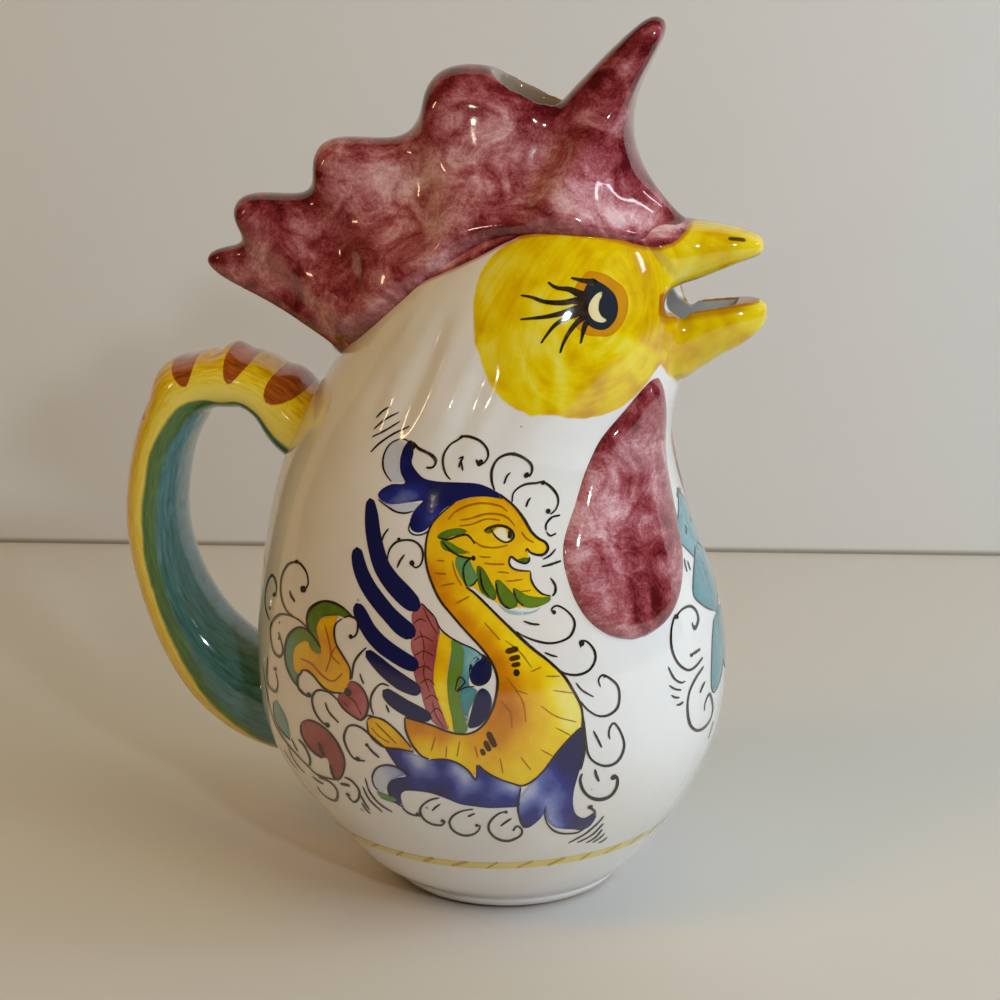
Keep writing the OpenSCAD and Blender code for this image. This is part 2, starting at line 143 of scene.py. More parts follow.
# Comb's seat on the head, from the heel to the brow
heelX, heelZ, browX, combHigh, combLong = -45.46, 146.8, 49.31, 92, 132
seatRows = [
    (0, 0), (0.0625, 0.055), (0.118, 0.1), (0.229, 0.205), (0.3125, 0.285), (0.444, 0.378), (0.556, 0.415), (0.764, 0.418),
    (0.882, 0.402), (0.958, 0.41), (1, 0.418)]

def seatHeight(x):
    return heelZ + combHigh * smoothTable(seatRows, np.clip((x - heelX) / (browX - heelX), 0, 1))[:, 0]

def seatAt(azimuths):  # height at which the body's surface meets the seat, at each azimuth
    low, high = np.full(len(azimuths), 140.0), np.full(len(azimuths), 192.0)
    for _ in range(24):
        middle = (low + high) / 2
        below = middle < seatHeight(skin(middle, azimuths)[:, 0])
        low, high = np.where(below, middle, low), np.where(below, high, middle)
    return (low + high) / 2

def ease(x, start, end):
    x = np.clip((x - start) / (end - start), 0, 1)
    return x * x * (3 - 2 * x)

# Helpers for making pieces
def toObject(bm, name, material=None):  # a mesh in millimetres becomes an object in metres at the origin
    bmesh.ops.scale(bm, vec=(mm, mm, mm), verts=bm.verts)
    mesh = bpy.data.meshes.new(name)
    bm.to_mesh(mesh)
    bm.free()
    mesh.polygons.foreach_set("use_smooth", [True] * len(mesh.polygons))
    piece = bpy.data.objects.new(name, mesh)
    bpy.context.collection.objects.link(piece)
    if material:
        mesh.materials.append(material)
    return piece

def pointsOf(bm):
    bm.verts.ensure_lookup_table()
    return np.array([v.co for v in bm.verts])

def movePoints(bm, points):
    for v, p in zip(bm.verts, points):
        v.co = p

def loft(bm, rings):  # rings of points joined into a skin, each end closed to its middle
    loops = []
    for ring in rings:
        verts = [bm.verts.new(p) for p in ring]
        loops.append([bm.edges.new((a, b)) for a, b in zip(verts, verts[1:] + verts[:1])])
    for a, b in zip(loops, loops[1:]):
        bmesh.ops.bridge_loops(bm, edges=a + b)
    for loop in (loops[0], loops[-1]):
        verts = list(dict.fromkeys(v for e in loop for v in e.verts))
        middle = bm.verts.new(sum((v.co for v in verts), Vector()) / len(verts))
        for e in loop:
            bm.faces.new((e.verts[0], e.verts[1], middle))
    bmesh.ops.recalc_face_normals(bm, faces=bm.faces)

def fixOrder(bm):  # spin and solidify leave the faces in an order that changes from run to run
    bm.verts.index_update()
    count = len(bm.verts)

    def rank(face):
        a, b, c = sorted(v.index for v in face.verts)[:3]
        return (a * count + b) * count + c

    bm.faces.sort(key=rank)

def applyModifiers(piece):
    graph = bpy.context.evaluated_depsgraph_get()
    done = bpy.data.meshes.new_from_object(piece.evaluated_get(graph))
    piece.modifiers.clear()
    old, piece.data = piece.data, done
    bpy.data.meshes.remove(old)

def remesh(piece, voxel):
    m = piece.modifiers.new("remesh", "REMESH")
    m.mode, m.voxel_size, m.use_smooth_shade = "VOXEL", voxel * mm, True
    applyModifiers(piece)

def cut(piece, cutter):
    m = piece.modifiers.new("cut", "BOOLEAN")
    m.operation, m.solver, m.object = "DIFFERENCE", "EXACT", cutter
    applyModifiers(piece)
    bpy.data.objects.remove(cutter)

def smoothPiece(piece, rounds, chosen=None):  # relaxes a mesh, or what chosen(points in mm) picks of it
    bm = bmesh.new()
    bm.from_mesh(piece.data)
    verts = [v for v, use in zip(bm.verts, chosen(pointsOf(bm) / mm)) if use] if chosen else bm.verts
    for _ in range(rounds):
        bmesh.ops.smooth_vert(bm, verts=verts, factor=0.5, use_axis_x=True, use_axis_y=True, use_axis_z=True)
    bm.to_mesh(piece.data)
    bm.free()

def meshPoints(mesh, part="co"):
    flat = np.empty(len(mesh.vertices) * 3)
    mesh.vertices.foreach_get(part, flat)
    return flat.reshape(-1, 3)

def reshape(piece, change):  # change(points in mm) gives the points' new places
    piece.data.vertices.foreach_set("co", (change(meshPoints(piece.data) / mm) * mm).ravel())
    piece.data.update()

def markPoints(mesh, **marks):  # numbers that the materials read at each point
    for name, values in marks.items():
        mesh.attributes.new(name, "FLOAT", "POINT").data.foreach_set("value", values)

# Body
body = dict(columns=320, under=7, wall=186, crown=14, foot=33, flute=1.1, fluteWide=3.1, perDegree=0.75, dent=0.12,
            straight=0.72, rise=181.5, tip=192.9, tuck=2.6, mouthTurn=27, mouthLow=150, mouthHigh=181, pocket=16)
# flutes behind the cheek: azimuth and height of each end, and depth, which is positive in a hollow
flutes = [
    (-112.7, 162, -108, 132, 0.75), (-90, 153, -89, 130, 0.6), (-105, 160, -103, 134, -0.4), (-128.3, 166, -116, 138, -0.4),
    (-124, 158, -120, 134, 0.4), (-97, 156, -96, 132, -0.35), (-77, 146, -80, 128, 0.3)]

def fluteRelief(azimuth, z):
    dips = np.zeros(len(z))
    for topTurn, top, lowTurn, low, depth in flutes:
        t = (top - z) / (top - low)
        turn = topTurn + (lowTurn - topTurn) * t
        for side in (1, -1):
            off = (azimuth - side * turn) * body["perDegree"]
            dips -= depth * np.exp(-(off / body["fluteWide"]) ** 2) * ease(t, -0.35, 0.15) * (1 - ease(t, 0.5, 1.25))
    return dips * body["flute"]

def relief(azimuth, z):  # flutes and the potter's shallow dents
    return fluteRelief(azimuth, z) + body["dent"] * np.sin(np.radians(azimuth * 3 + z * 2.1)) * np.sin(z / 13)

def makeBody():
    bm = bmesh.new()
    rows = body["under"] + body["wall"] + body["crown"] + 1
    chain = [bm.verts.new((1, 0, i)) for i in range(rows)]
    edges = [bm.edges.new(pair) for pair in zip(chain, chain[1:])]
    bmesh.ops.spin(bm, geom=chain + edges, cent=(0, 0, 0), axis=(0, 0, 1), angle=math.tau,
                   steps=body["columns"], use_merge=True)
    bmesh.ops.remove_doubles(bm, verts=bm.verts, dist=1e-4)
    old = pointsOf(bm)
    azimuth = np.degrees(np.arctan2(old[:, 1], old[:, 0]))
    row = np.round(old[:, 2])
    turns = np.linspace(-180, 180, body["columns"] * 2 + 1)
    top = np.interp(azimuth, turns, seatAt(turns))
    under, wall = body["under"], body["wall"]
    share, straight = np.clip((row - under) / wall, 0, 1), body["straight"]
    bend = form["low"] + body["rise"] * straight  # level rows up to here, then they follow the comb's seat
    z = np.where(share < straight, form["low"] + body["rise"] * share,
                 bend + (top - bend) * (share - straight) / (1 - straight))
    over = np.clip((row - under - wall) / body["crown"], 0, 1)
    z = z + (body["tip"] - z) * over
    # a pocket behind the beaks, which their own piece covers
    middle, half = (body["mouthLow"] + body["mouthHigh"]) / 2, (body["mouthHigh"] - body["mouthLow"]) / 2
    ring = np.hypot(azimuth / body["mouthTurn"], (z - middle) / half)
    points = skin(z, azimuth, relief(azimuth, z) - body["tuck"] * ease(over, 0, 0.25))
    points[:, 0] -= body["pocket"] * (1 - ease(ring, 0.82, 1.0))
    below, a = row < under, np.radians(azimuth)
    radius = body["foot"] * np.sqrt(np.clip(row / under, 0, 1))
    disc = np.stack([radius * np.cos(a), radius * np.sin(a), np.full(len(row), form["low"])], -1)
    points[below] = disc[below]
    movePoints(bm, points)
    bmesh.ops.remove_doubles(bm, verts=[v for v, r in zip(bm.verts, row) if r == 0 or r == rows - 1], dist=4)
    bmesh.ops.recalc_face_normals(bm, faces=bm.faces)
    fixOrder(bm)
    return toObject(bm, "glazedBody")

bodyPiece = makeBody()
print("body:", len(bodyPiece.data.polygons), "faces")

# Beaks
beaks = dict(root=48.47, long=21, half=10, mouthZ=165.5, gape=11.5, upperHigh=17.5, lowerHigh=20, wall=3.2,
             voxel=0.5, turn=33, low=138.5, high=186, deep=9, back=4.5, slot=5.2, slotX=44, round=24)
# the patch's place on the head, and where it lies flush, has grown into a beak and dips under the body's glaze
patch = dict(turn=27.5, middle=164.5, half=22.5, flush=(0.72, 0.97), grown=(0.8, 2.6), rim=(1.0, 1.12), lie=0.04,
             dip=0.9, outer=-3.2)
# share of the length, half width and height as shares, and the lip as a share of the gape, from the head to the tip
upperRows = [
    (-0.58, 1.95, 1.06, 0.2), (-0.2, 1.4, 1.01, 0.32), (0.09, 1.06, 0.98, 0.46), (0.37, 0.86, 0.94, 0.68),
    (0.66, 0.7, 0.88, 0.92), (0.85, 0.5, 0.8, 1.06), (0.91, 0.36, 0.75, 1.12), (0.935, 0.15, 0.69, 1.2)]
lowerRows = [
    (-0.58, 1.9, 1.3, -0.5), (-0.2, 1.38, 1.02, -0.32), (0.09, 1.06, 0.81, 0.02), (0.42, 0.87, 0.55, 0.12),
    (0.7, 0.7, 0.38, 0.15), (0.88, 0.52, 0.22, 0.07), (0.96, 0.36, 0.12, 0), (1, 0.15, 0.03, -0.1)]

def beakRings(rows, upper, inset=0, last=1.0, power=0.8, sides=32):
    places = np.concatenate([np.linspace(a[0], b[0], 4)[:-1] for a, b in zip(rows, rows[1:])] + [[rows[-1][0]]])
    places = places[places <= last]
    rings = []
    for place, (wide, high, lip) in zip(places, smoothTable(rows, places)):
        lipZ = beaks["mouthZ"] + beaks["gape"] * lip
        flat = beaks["mouthZ"] + beaks["gape"] * rows[1][3]
        if upper:
            top, bottom = flat + beaks["upperHigh"] * high - inset, lipZ + inset
        else:
            top, bottom = lipZ + (beaks["gape"] / 2 if inset else 0), flat - beaks["lowerHigh"] * high + inset
        half = beaks["half"] * wide - inset
        ring = []
        for k in range(sides):
            c, s = math.cos(math.tau * k / sides), math.sin(math.tau * k / sides)
            ring.append((beaks["root"] + beaks["long"] * place,
                         half * math.copysign(abs(c) ** power, c),
                         (top + bottom) / 2 + (top - bottom) / 2 * math.copysign(abs(s) ** power, s)))
        rings.append(ring)
    return rings

def headPatch():  # the front of the head as a thick patch, on which the beaks grow
    bm = bmesh.new()
    bmesh.ops.create_grid(bm, x_segments=44, y_segments=40, size=1)
    p = pointsOf(bm)
    z = beaks["low"] + (beaks["high"] - beaks["low"]) * (p[:, 1] + 1) / 2
    movePoints(bm, skin(z, p[:, 0] * beaks["turn"]))
    bmesh.ops.recalc_face_normals(bm, faces=bm.faces)
    grown = bmesh.ops.extrude_face_region(bm, geom=list(bm.faces), use_keep_orig=True)
    for v in grown["geom"]:
        if isinstance(v, bmesh.types.BMVert):
            v.co = Vector((v.co.x - beaks["deep"], v.co.y * 0.8, v.co.z))
    bmesh.ops.recalc_face_normals(bm, faces=bm.faces)
    return bm

def mouthOutline():
    cornerR, tipR = beaks["gape"] * 0.3, beaks["gape"] * 0.45
    start = (beaks["root"] - beaks["back"] + cornerR, beaks["mouthZ"] + beaks["gape"] * 0.12)
    end = (beaks["root"] + beaks["long"] + 6, beaks["mouthZ"] + beaks["gape"] * 0.7)
    turns = [math.pi / 2 + math.pi * k / (beaks["round"] - 1) for k in range(beaks["round"])]
    corner = [(start[0] + cornerR * math.cos(a), start[1] + cornerR * math.sin(a)) for a in turns]
    return corner + [(end[0], end[1] - tipR * 1.1), (end[0], end[1] + tipR)]

def mouthCutter():
    bm = bmesh.new()
    loft(bm, [[(x, y, z) for x, z in mouthOutline()] for y in (-20, 20)])
    return toObject(bm, "mouthCutter")

def makeBeaks():
    bm = headPatch()
    for rows, upper in ((upperRows, True), (lowerRows, False)):
        loft(bm, beakRings(rows, upper))
    piece = toObject(bm, "yellowBeaks")
    remesh(piece, beaks["voxel"])
    cut(piece, mouthCutter())
    for rows, upper, last in ((upperRows, True, 0.5), (lowerRows, False, 0.66)):
        bm = bmesh.new()
        loft(bm, beakRings(rows, upper, beaks["wall"], last))
        cut(piece, toObject(bm, "hollow"))
        remesh(piece, beaks["voxel"])

    def rootOfBeak(p):  # where beak and cheek meet, off the slot of the mouth
        ahead, up = p[:, 0] - beaks["slotX"], p[:, 2] - beaks["mouthZ"]
        offSlot = (up < ahead * 0.13 - beaks["slot"]) | (up > ahead * 0.37 + beaks["slot"]) | (ahead < -3.5)
        return offSlot & (ahead < 10) & (heightOver(p) > -2.5)

    def settle(p):  # the patch's rim comes to lie on the body and then dips under it
        azimuth, over = azimuthOf(p), heightOver(p)
        ring = np.hypot(azimuth / patch["turn"], (p[:, 2] - patch["middle"]) / patch["half"])
        flush = ease(ring, *patch["flush"]) * (1 - ease(over, *patch["grown"]))
        target = skin(p[:, 2], azimuth, patch["lie"] - patch["dip"] * ease(ring, *patch["rim"]))
        outer = (over > patch["outer"])[:, None]
        return np.where(outer, p + (target - p) * flush[:, None], p)

    smoothPiece(piece, 4)
    smoothPiece(piece, 60, rootOfBeak)
    smoothPiece(piece, 3)
    reshape(piece, settle)
    return piece

beakPiece = makeBeaks()
print("beaks:", len(beakPiece.data.polygons), "faces")

# Comb
comb = dict(edge=15, ledge=1.5, voxel=0.75, fillX=0.672, fillLong=18, fillWide=14)
# place along the outline, height, foot of the rib on the seat and thickness, as shares, from the heel to the brow
combRows = [
    (0.246, 0.04, 0, 0.35), (0.196, 0.112, 0.03, 0.5), (0.109, 0.165, 0.045, 0.6), (0.027, 0.214, 0.055, 0.62),
    (-0.005, 0.258, 0.06, 0.5), (0.019, 0.289, 0.065, 0.6), (0.071, 0.31, 0.073, 0.8), (0.074, 0.348, 0.085, 0.9),
    (0.057, 0.397, 0.1, 0.9), (0.071, 0.443, 0.115, 0.9), (0.112, 0.461, 0.13, 0.95), (0.169, 0.461, 0.15, 1),
    (0.211, 0.47, 0.165, 1), (0.228, 0.505, 0.18, 1), (0.23, 0.571, 0.2, 1), (0.25, 0.616, 0.22, 1),
    (0.294, 0.634, 0.25, 1.05), (0.385, 0.635, 0.3, 1.1), (0.428, 0.658, 0.33, 1.15), (0.453, 0.713, 0.35, 1.25),
    (0.465, 0.783, 0.37, 1.35), (0.491, 0.829, 0.39, 1.45), (0.533, 0.85, 0.42, 1.55), (0.594, 0.848, 0.445, 1.6),
    (0.655, 0.827, 0.485, 1.6), (0.707, 0.795, 0.525, 1.5), (0.738, 0.763, 0.552, 1.35), (0.76, 0.795, 0.57, 1.2),
    (0.805, 0.863, 0.585, 1.05), (0.847, 0.924, 0.597, 0.95), (0.889, 0.978, 0.608, 0.85), (0.916, 1, 0.615, 0.7),
    (0.938, 0.992, 0.622, 0.7), (0.941, 0.957, 0.63, 0.8), (0.922, 0.897, 0.642, 0.95), (0.89, 0.803, 0.71, 1.1),
    (0.877, 0.717, 0.77, 1.2), (0.881, 0.648, 0.825, 1.25), (0.9, 0.578, 0.877, 1.25), (0.933, 0.51, 0.93, 1.2),
    (0.978, 0.442, 1, 1)]
sideRows = [(0, 0.95), (0.07, 1.02), (0.28, 0.8), (0.6, 0.28), (1, 0)]  # place up a rib, and its swell
fillRows = [(190, 0.8), (205, 0.9), (216, 1), (250, 1.1)]  # height and size of the fill mouth

def headHalf(x, z):
    halfLength, halfWidth, centre = section(z)
    return halfWidth * np.sqrt(np.clip(1 - ((x - centre) / halfLength) ** 2, 0, 1))

def combRings():
    rows = np.array([(i,) + r for i, r in enumerate(combRows)], float)
    rings = []
    for along, high, foot, thick in smoothTable(rows, np.linspace(0, len(rows) - 1, (len(rows) - 1) * 3 + 1)):
        foot = min(max(foot, 0), 1)
        footX = heelX + (browX - heelX) * foot
        start = Vector((footX, float(seatHeight(np.array([footX]))[0])))
        tip = Vector((browX - combLong * (1 - along), heelZ + combHigh * high))
        run = tip - start
        base = comb["ledge"] + max(float(headHalf(start.x, start.y)), comb["edge"] / 2 * min(thick, 1))
        edge = min(comb["edge"] / 2 * thick, run.length * 0.45)
        rise, way = run.length - edge, run.normalized()
        side = []
        for place, (swell,) in zip(np.linspace(0, 1, 9), smoothTable(sideRows, np.linspace(0, 1, 9))):
            side.append((start + way * rise * place, edge + (base - edge) * swell))
        side[0] = (side[0][0] - way * 1.5, side[0][1] - 1.5)
        for turn in np.radians((18, 36, 54, 72)):
            side.append((start + way * (rise + edge * math.sin(turn)), edge * math.cos(turn)))
        rings.append([(p.x, -w, p.y) for p, w in side] + [(tip.x, 0, tip.y)]
                     + [(p.x, w, p.y) for p, w in reversed(side)])
    return rings

def fillCutter():
    bm = bmesh.new()
    x = browX - combLong * (1 - comb["fillX"])
    r, half = comb["fillWide"] / 2, (comb["fillLong"] - comb["fillWide"]) / 2
    outline = []
    for end, start in ((1, -90), (-1, 90)):
        for a in np.radians(np.linspace(start, start + 180, 17)):
            outline.append((x + end * half + r * math.cos(a), r * math.sin(a)))
    loft(bm, [[(px * s + x * (1 - s), py * s, z) for px, py in outline] for z, s in fillRows])
    return toObject(bm, "fillCutter")

def makeComb():
    bm = bmesh.new()
    loft(bm, combRings())
    piece = toObject(bm, "crimsonComb")
    remesh(piece, comb["voxel"])
    cut(piece, fillCutter())
    remesh(piece, comb["voxel"])
    smoothPiece(piece, 14)
    return piece

combPiece = makeComb()
print("comb:", len(combPiece.data.polygons), "faces")

# Wattles
wattle = dict(top=149, long=65, wide=45, thick=3.5, turn=33, later=13, sunk=0.8, skin=0.6)
# share of the length, place round the neck, width and thickness as shares
wattleRows = [
    (0, 0.76, 0.06, 0.35), (0.04, 0.79, 0.2, 0.6), (0.11, 0.82, 0.38, 0.85), (0.2, 0.84, 0.585, 1), (0.3, 0.84, 0.72, 1),
    (0.44, 0.88, 0.86, 1), (0.6, 0.98, 1, 1), (0.73, 1.03, 0.98, 1), (0.87, 1.1, 0.78, 0.95), (0.955, 1.15, 0.46, 0.75),
    (1, 1.17, 0.1, 0.4)]

def makeWattle(name, side, later):
    bm = bmesh.new()
    bmesh.ops.create_grid(bm, x_segments=44, y_segments=90, size=1)
    p = pointsOf(bm)
    share = (p[:, 1] + 1) / 2
    across = np.sin(p[:, 0] * math.pi / 2)
    place, width, thick = smoothTable(wattleRows, share).T
    z = wattle["top"] - wattle["long"] * share
    halfLength, _, _ = section(z)
    half = np.degrees(wattle["wide"] / 2 * width / halfLength)
    azimuth = side * (wattle["turn"] * place + later) + half * across
    ends = np.clip(np.minimum(share, 1 - share) / 0.07, 0, 1)
    swell = (1 - np.abs(across) ** 3.2) ** 0.55 * np.sqrt(1 - (1 - ends) ** 2)
    movePoints(bm, skin(z, azimuth, (wattle["thick"] + wattle["sunk"]) * thick * swell - wattle["sunk"]))
    bmesh.ops.recalc_face_normals(bm, faces=bm.faces)
    bmesh.ops.solidify(bm, geom=list(bm.faces), thickness=wattle["skin"])
    bmesh.ops.recalc_face_normals(bm, faces=bm.faces)
    fixOrder(bm)
    return toObject(bm, name)

wattleRight = makeWattle("wattleRight", -1, 0)
wattleLeft = makeWattle("wattleLeft", 1, wattle["later"])
print("wattles:", len(wattleRight.data.polygons), "faces each")

# Handle
handle = dict(thick=15.4, wide=27, reach=107.3, top=145.5, low=40, neckBack=57, knuckle=2.0, knuckleAt=0.446,
              knucklePitch=0.3, sides=28, power=0.85)
# how far back and how high the middle lies, thickness and width, as shares, from the top root to the foot
handleRows = [
    (-0.21, 0.84, 1.35, 1.15), (0, 0.895, 1.3, 1.1), (0.164, 0.958, 1, 1), (0.305, 0.995, 0.97, 1), (0.446, 1, 1, 1),
    (0.587, 0.995, 1.02, 1), (0.728, 0.965, 1.05, 1), (0.833, 0.9, 1.05, 1), (0.925, 0.805, 1, 1), (0.98, 0.695, 1, 1),
    (1, 0.593, 1, 1), (0.972, 0.48, 1.02, 1), (0.885, 0.355, 1.12, 1.02), (0.75, 0.24, 1.32, 1.05),
    (0.575, 0.147, 1.55, 1.1), (0.375, 0.085, 1.7, 1.15), (0.165, 0.05, 1.75, 1.18), (-0.07, 0.03, 1.7, 1.2)]

# Paint on the handle: place along it, and where green and teal begin from its back to its inside
handleBands = [
    (0, 0.68, 0.84), (0.12, 0.7, 0.87), (0.25, 0.75, 0.91), (0.36, 0.6, 0.84), (0.45, 0.5, 0.74), (0.6, 0.48, 0.7),
    (0.75, 0.42, 0.58), (0.88, 0.26, 0.38), (1, 0.06, 0.12)]
# rust marks: place, half width at the back, and how far round the tip comes
handleMarks = [(0.43, 0.011, 0.2), (0.32, 0.022, 0.42), (0.208, 0.025, 0.44), (0.112, 0.028, 0.45)]

def handlePaint(piece, count):
    sides = handle["sides"]
    i, k = np.divmod(np.arange(count * sides), sides)
    along = np.concatenate([i / (count - 1), [0, 1]])
    around = np.concatenate([(1 - np.cos(math.tau * k / sides)) / 2, [0.5, 0.5]])
    places, green, teal = np.array(handleBands).T
    mark = np.full(len(along), -1.0)
    for place, half, tip in handleMarks:
        off = np.abs(along - place - 0.012 * around) / half
        mark = np.maximum(mark, np.clip(1 - (around / tip) ** 2, -1, 1) - off ** 2)
    markPoints(piece.data, along=along, around=around, greenFrom=np.interp(along, places, green),
               tealFrom=np.interp(along, places, teal), rustMark=mark)

def makeHandle():
    rows = np.array([(i,) + r for i, r in enumerate(handleRows)], float)
    count = (len(rows) - 1) * 6 + 1
    path = []
    for back, high, thick, wide in smoothTable(rows, np.linspace(0, len(rows) - 1, count)):
        x = -handle["neckBack"] - (handle["reach"] - handle["thick"] / 2 - handle["neckBack"]) * back
        z = handle["low"] + (handle["top"] - handle["thick"] / 2 - handle["low"]) * high
        wave = math.cos(math.tau * (back - handle["knuckleAt"]) / handle["knucklePitch"])
        bump = handle["knuckle"] * max(0, wave) if high > 0.9 else 0
        path.append((x, z, handle["thick"] / 2 * thick, handle["wide"] / 2 * wide, bump))
    rings = []
    for i, (x, z, thick, wide, bump) in enumerate(path):
        a, b = path[max(i - 1, 0)], path[min(i + 1, len(path) - 1)]
        run = Vector((b[0] - a[0], b[1] - a[1])).normalized()
        ring = []
        for k in range(handle["sides"]):
            t = math.tau * k / handle["sides"]
            c, s = (math.copysign(abs(v) ** handle["power"], v) for v in (math.cos(t), math.sin(t)))
            out = c * thick + max(0, c) ** 2 * bump
            ring.append((x + run.y * out, wide * s, z - run.x * out))
        rings.append(ring)
    bm = bmesh.new()
    loft(bm, rings)
    piece = toObject(bm, "loopHandle")
    handlePaint(piece, count)
    m = piece.modifiers.new("round", "SUBSURF")
    m.levels = m.render_levels = 1
    return piece

handlePiece = makeHandle()
print("handle:", len(handlePiece.data.polygons), "faces")

# Foot
foot = dict(outer=28.5, flat=5, steps=128)

def makeFoot():
    bm = bmesh.new()
    inner, outer = foot["outer"] - foot["flat"], foot["outer"]
    profile = [(inner, 4.6), (inner, 0.5), (inner + 0.5, 0), (outer - 0.4, 0), (outer + 0.5, 0.5), (outer + 2.7, 1.6),
               (outer + 4.1, 3.2), (outer + 4.6, 4.6)]
    chain = [bm.verts.new((r, 0, z)) for r, z in profile]
    edges = [bm.edges.new((a, b)) for a, b in zip(chain, chain[1:] + chain[:1])]
    bmesh.ops.spin(bm, geom=chain + edges, cent=(0, 0, 0), axis=(0, 0, 1), angle=math.tau,
                   steps=foot["steps"], use_merge=True)
    bmesh.ops.remove_doubles(bm, verts=bm.verts, dist=1e-4)
    bmesh.ops.recalc_face_normals(bm, faces=bm.faces)
    fixOrder(bm)
    return toObject(bm, "footRing")

footPiece = makeFoot()
print("foot ring made")

# Painting: points of the drawing are cast onto the body along the camera's lines, and the brush is laid there
# fill, shade, over, line and ink are how high a paint lies on the glaze; a pixel is this wide on the jug's near side
paint = dict(fill=0.07, shade=0.09, over=0.1, line=0.12, ink=0.14, grain=5.5, pixel=0.252, press=1.15, soft=170,
             near=580, far=800, step=2.5)
bothSides = (1, -1)

def castOnBody(pixels):  # azimuth and height where pixels show the body, or where their lines pass it closest
    start, run = sightLines(pixels)
    far = np.arange(paint["near"], paint["far"], paint["step"])
    over = heightOver((start + run[:, None] * far[None, :, None]).reshape(-1, 3)).reshape(len(run), -1)
    hit = (over < 0).any(1)
    first = np.where(hit, (over < 0).argmax(1), over.argmin(1))
    low, high = far[np.maximum(first - 1, 0)], far[first]
    for _ in range(14):
        middle = (low + high) / 2
        within = heightOver(start + run * middle[:, None]) < 0
        low, high = np.where(within, low, middle), np.where(within, middle, high)
    spot = start + run * np.where(hit, high, far[first])[:, None]
    return np.stack([azimuthOf(spot), spot[:, 2]], 1)

def throughPoints(points, step, closed=False):  # a smooth line; columns after the first two ride along
    p = np.asarray(points, float)
    ends = ([p[-1:], p, p[:2]] if closed else [[2 * p[0] - p[1]], p, [2 * p[-1] - p[-2]]])
    p = np.concatenate(ends)
    found = []
    for a, b, c, d in zip(p, p[1:], p[2:], p[3:]):
        t = np.arange(0, 1, min(0.5, step / max(math.hypot(*(c - b)[:2]), 1e-6)))[:, None]
        found.append((2 * b + (c - a) * t + (2 * a - 5 * b + 4 * c - d) * t ** 2 + (3 * b - a - 3 * c + d) * t ** 3) / 2)
    return np.concatenate(found if closed else found + [p[-2:-1]])

def signedDistance(points, outline, scale=(1, 1)):  # positive inside the outline
    p, a = points * scale, outline * scale
    b = np.roll(a, -1, 0)
    best, crossed = np.full(len(p), 1e9), np.zeros(len(p), bool)
    for s, e in zip(a, b):
        run = e - s
        t = np.clip(((p - s) @ run) / max(run @ run, 1e-9), 0, 1)
        best = np.minimum(best, np.hypot(*(p - s - t[:, None] * run).T))
        level = (s[1] > p[:, 1]) != (e[1] > p[:, 1])
        crossed ^= level & (p[:, 0] < s[0] + (p[:, 1] - s[1]) * run[0] / (run[1] if run[1] else 1e-9))
    return np.where(crossed, best, -best)

def newPaint():
    bm = bmesh.new()
    return bm, bm.verts.layers.float.new("tone"), bm.verts.layers.float.new("edge")

def layStroke(sheet, path, half, lift, tone=0.5, columns=2):  # path is azimuth and height, half is half the width
    bm, toneLayer, edgeLayer = sheet
    turn, z = np.asarray(path, float).T
    halfLength, halfWidth, _ = section(z)
    perDegree = np.radians((halfLength + halfWidth) / 2)
    slope = np.hypot(1, (section(z + 1)[0] - section(z - 1)[0]) / 2)
    du, dv = np.gradient(turn) * perDegree, np.gradient(z) * slope
    size = np.maximum(np.hypot(du, dv), 1e-6)
    length = np.concatenate([[0], np.cumsum((size[1:] + size[:-1]) / 2)])
    half = np.broadcast_to(half, len(turn)) * 1.0
    for gone in (length, length[-1] - length):  # round ends
        r = np.maximum(half, 1e-3)
        half = half * np.sqrt(np.clip(1 - np.clip(1 - gone / r, 0, 1) ** 2, 0.01, 1))
    made = bmesh.ops.create_grid(bm, x_segments=columns, y_segments=len(turn) - 1, size=1)["verts"]
    place = np.array([v.co for v in made])
    i, steps = (place[:, 1] + 1) / 2 * (len(turn) - 1), np.arange(len(turn))
    pick = lambda values: np.interp(i, steps, values)
    across = place[:, 0] * pick(half)
    newTurn = pick(turn) + pick(dv / size) * across / pick(perDegree)
    newZ = pick(z) - pick(du / size) * across / pick(slope)
    points, toEdge = skin(newZ, newTurn, relief(newTurn, newZ) + lift), pick(half) * (1 - np.abs(place[:, 0]))
    for v, p, e in zip(made, points, toEdge):
        v.co = p
        v[toneLayer], v[edgeLayer] = tone, e

def acrossSize(line):  # millimetres on the glaze for a pixel across a line
    run = np.gradient(line, axis=0)
    aside = np.stack([-run[:, 1], run[:, 0]], 1) / np.maximum(np.hypot(*run.T), 1e-6)[:, None]
    ends = [castOnBody(line + aside * k) for k in (-1.5, 1.5)]
    found = np.linalg.norm(skin(ends[0][:, 1], ends[0][:, 0]) - skin(ends[1][:, 1], ends[1][:, 0]), axis=1) / 3
    found = np.clip(found, paint["pixel"], paint["pixel"] * 2)
    return np.convolve(np.pad(found, 3, mode="edge"), np.full(7, 1 / 7), "valid")

# In the next three, lengths are in pixels: a row is a width, then x, y, x, y; a dot is x, y and radius;
# a feather is x, y and width at each point
def strokesFromPixels(sheet, rows, lift, tone=0.5, taper=0.45, pointed=False):
    for row in rows:
        line = throughPoints(np.array(row[1:], float).reshape(-1, 2), 2)
        path, pixel = castOnBody(line), acrossSize(line) * paint["press"]
        share = np.linspace(0, 1, len(path))
        press = 1 - taper + taper * np.sin(share * math.pi) ** 0.6 + 0.07 * np.sin(share * 17 + row[1])
        press = 1.45 - 1.15 * share if pointed else press
        for side in bothSides:
            layStroke(sheet, path * (side, 1), row[0] / 2 * pixel * press, lift, tone)

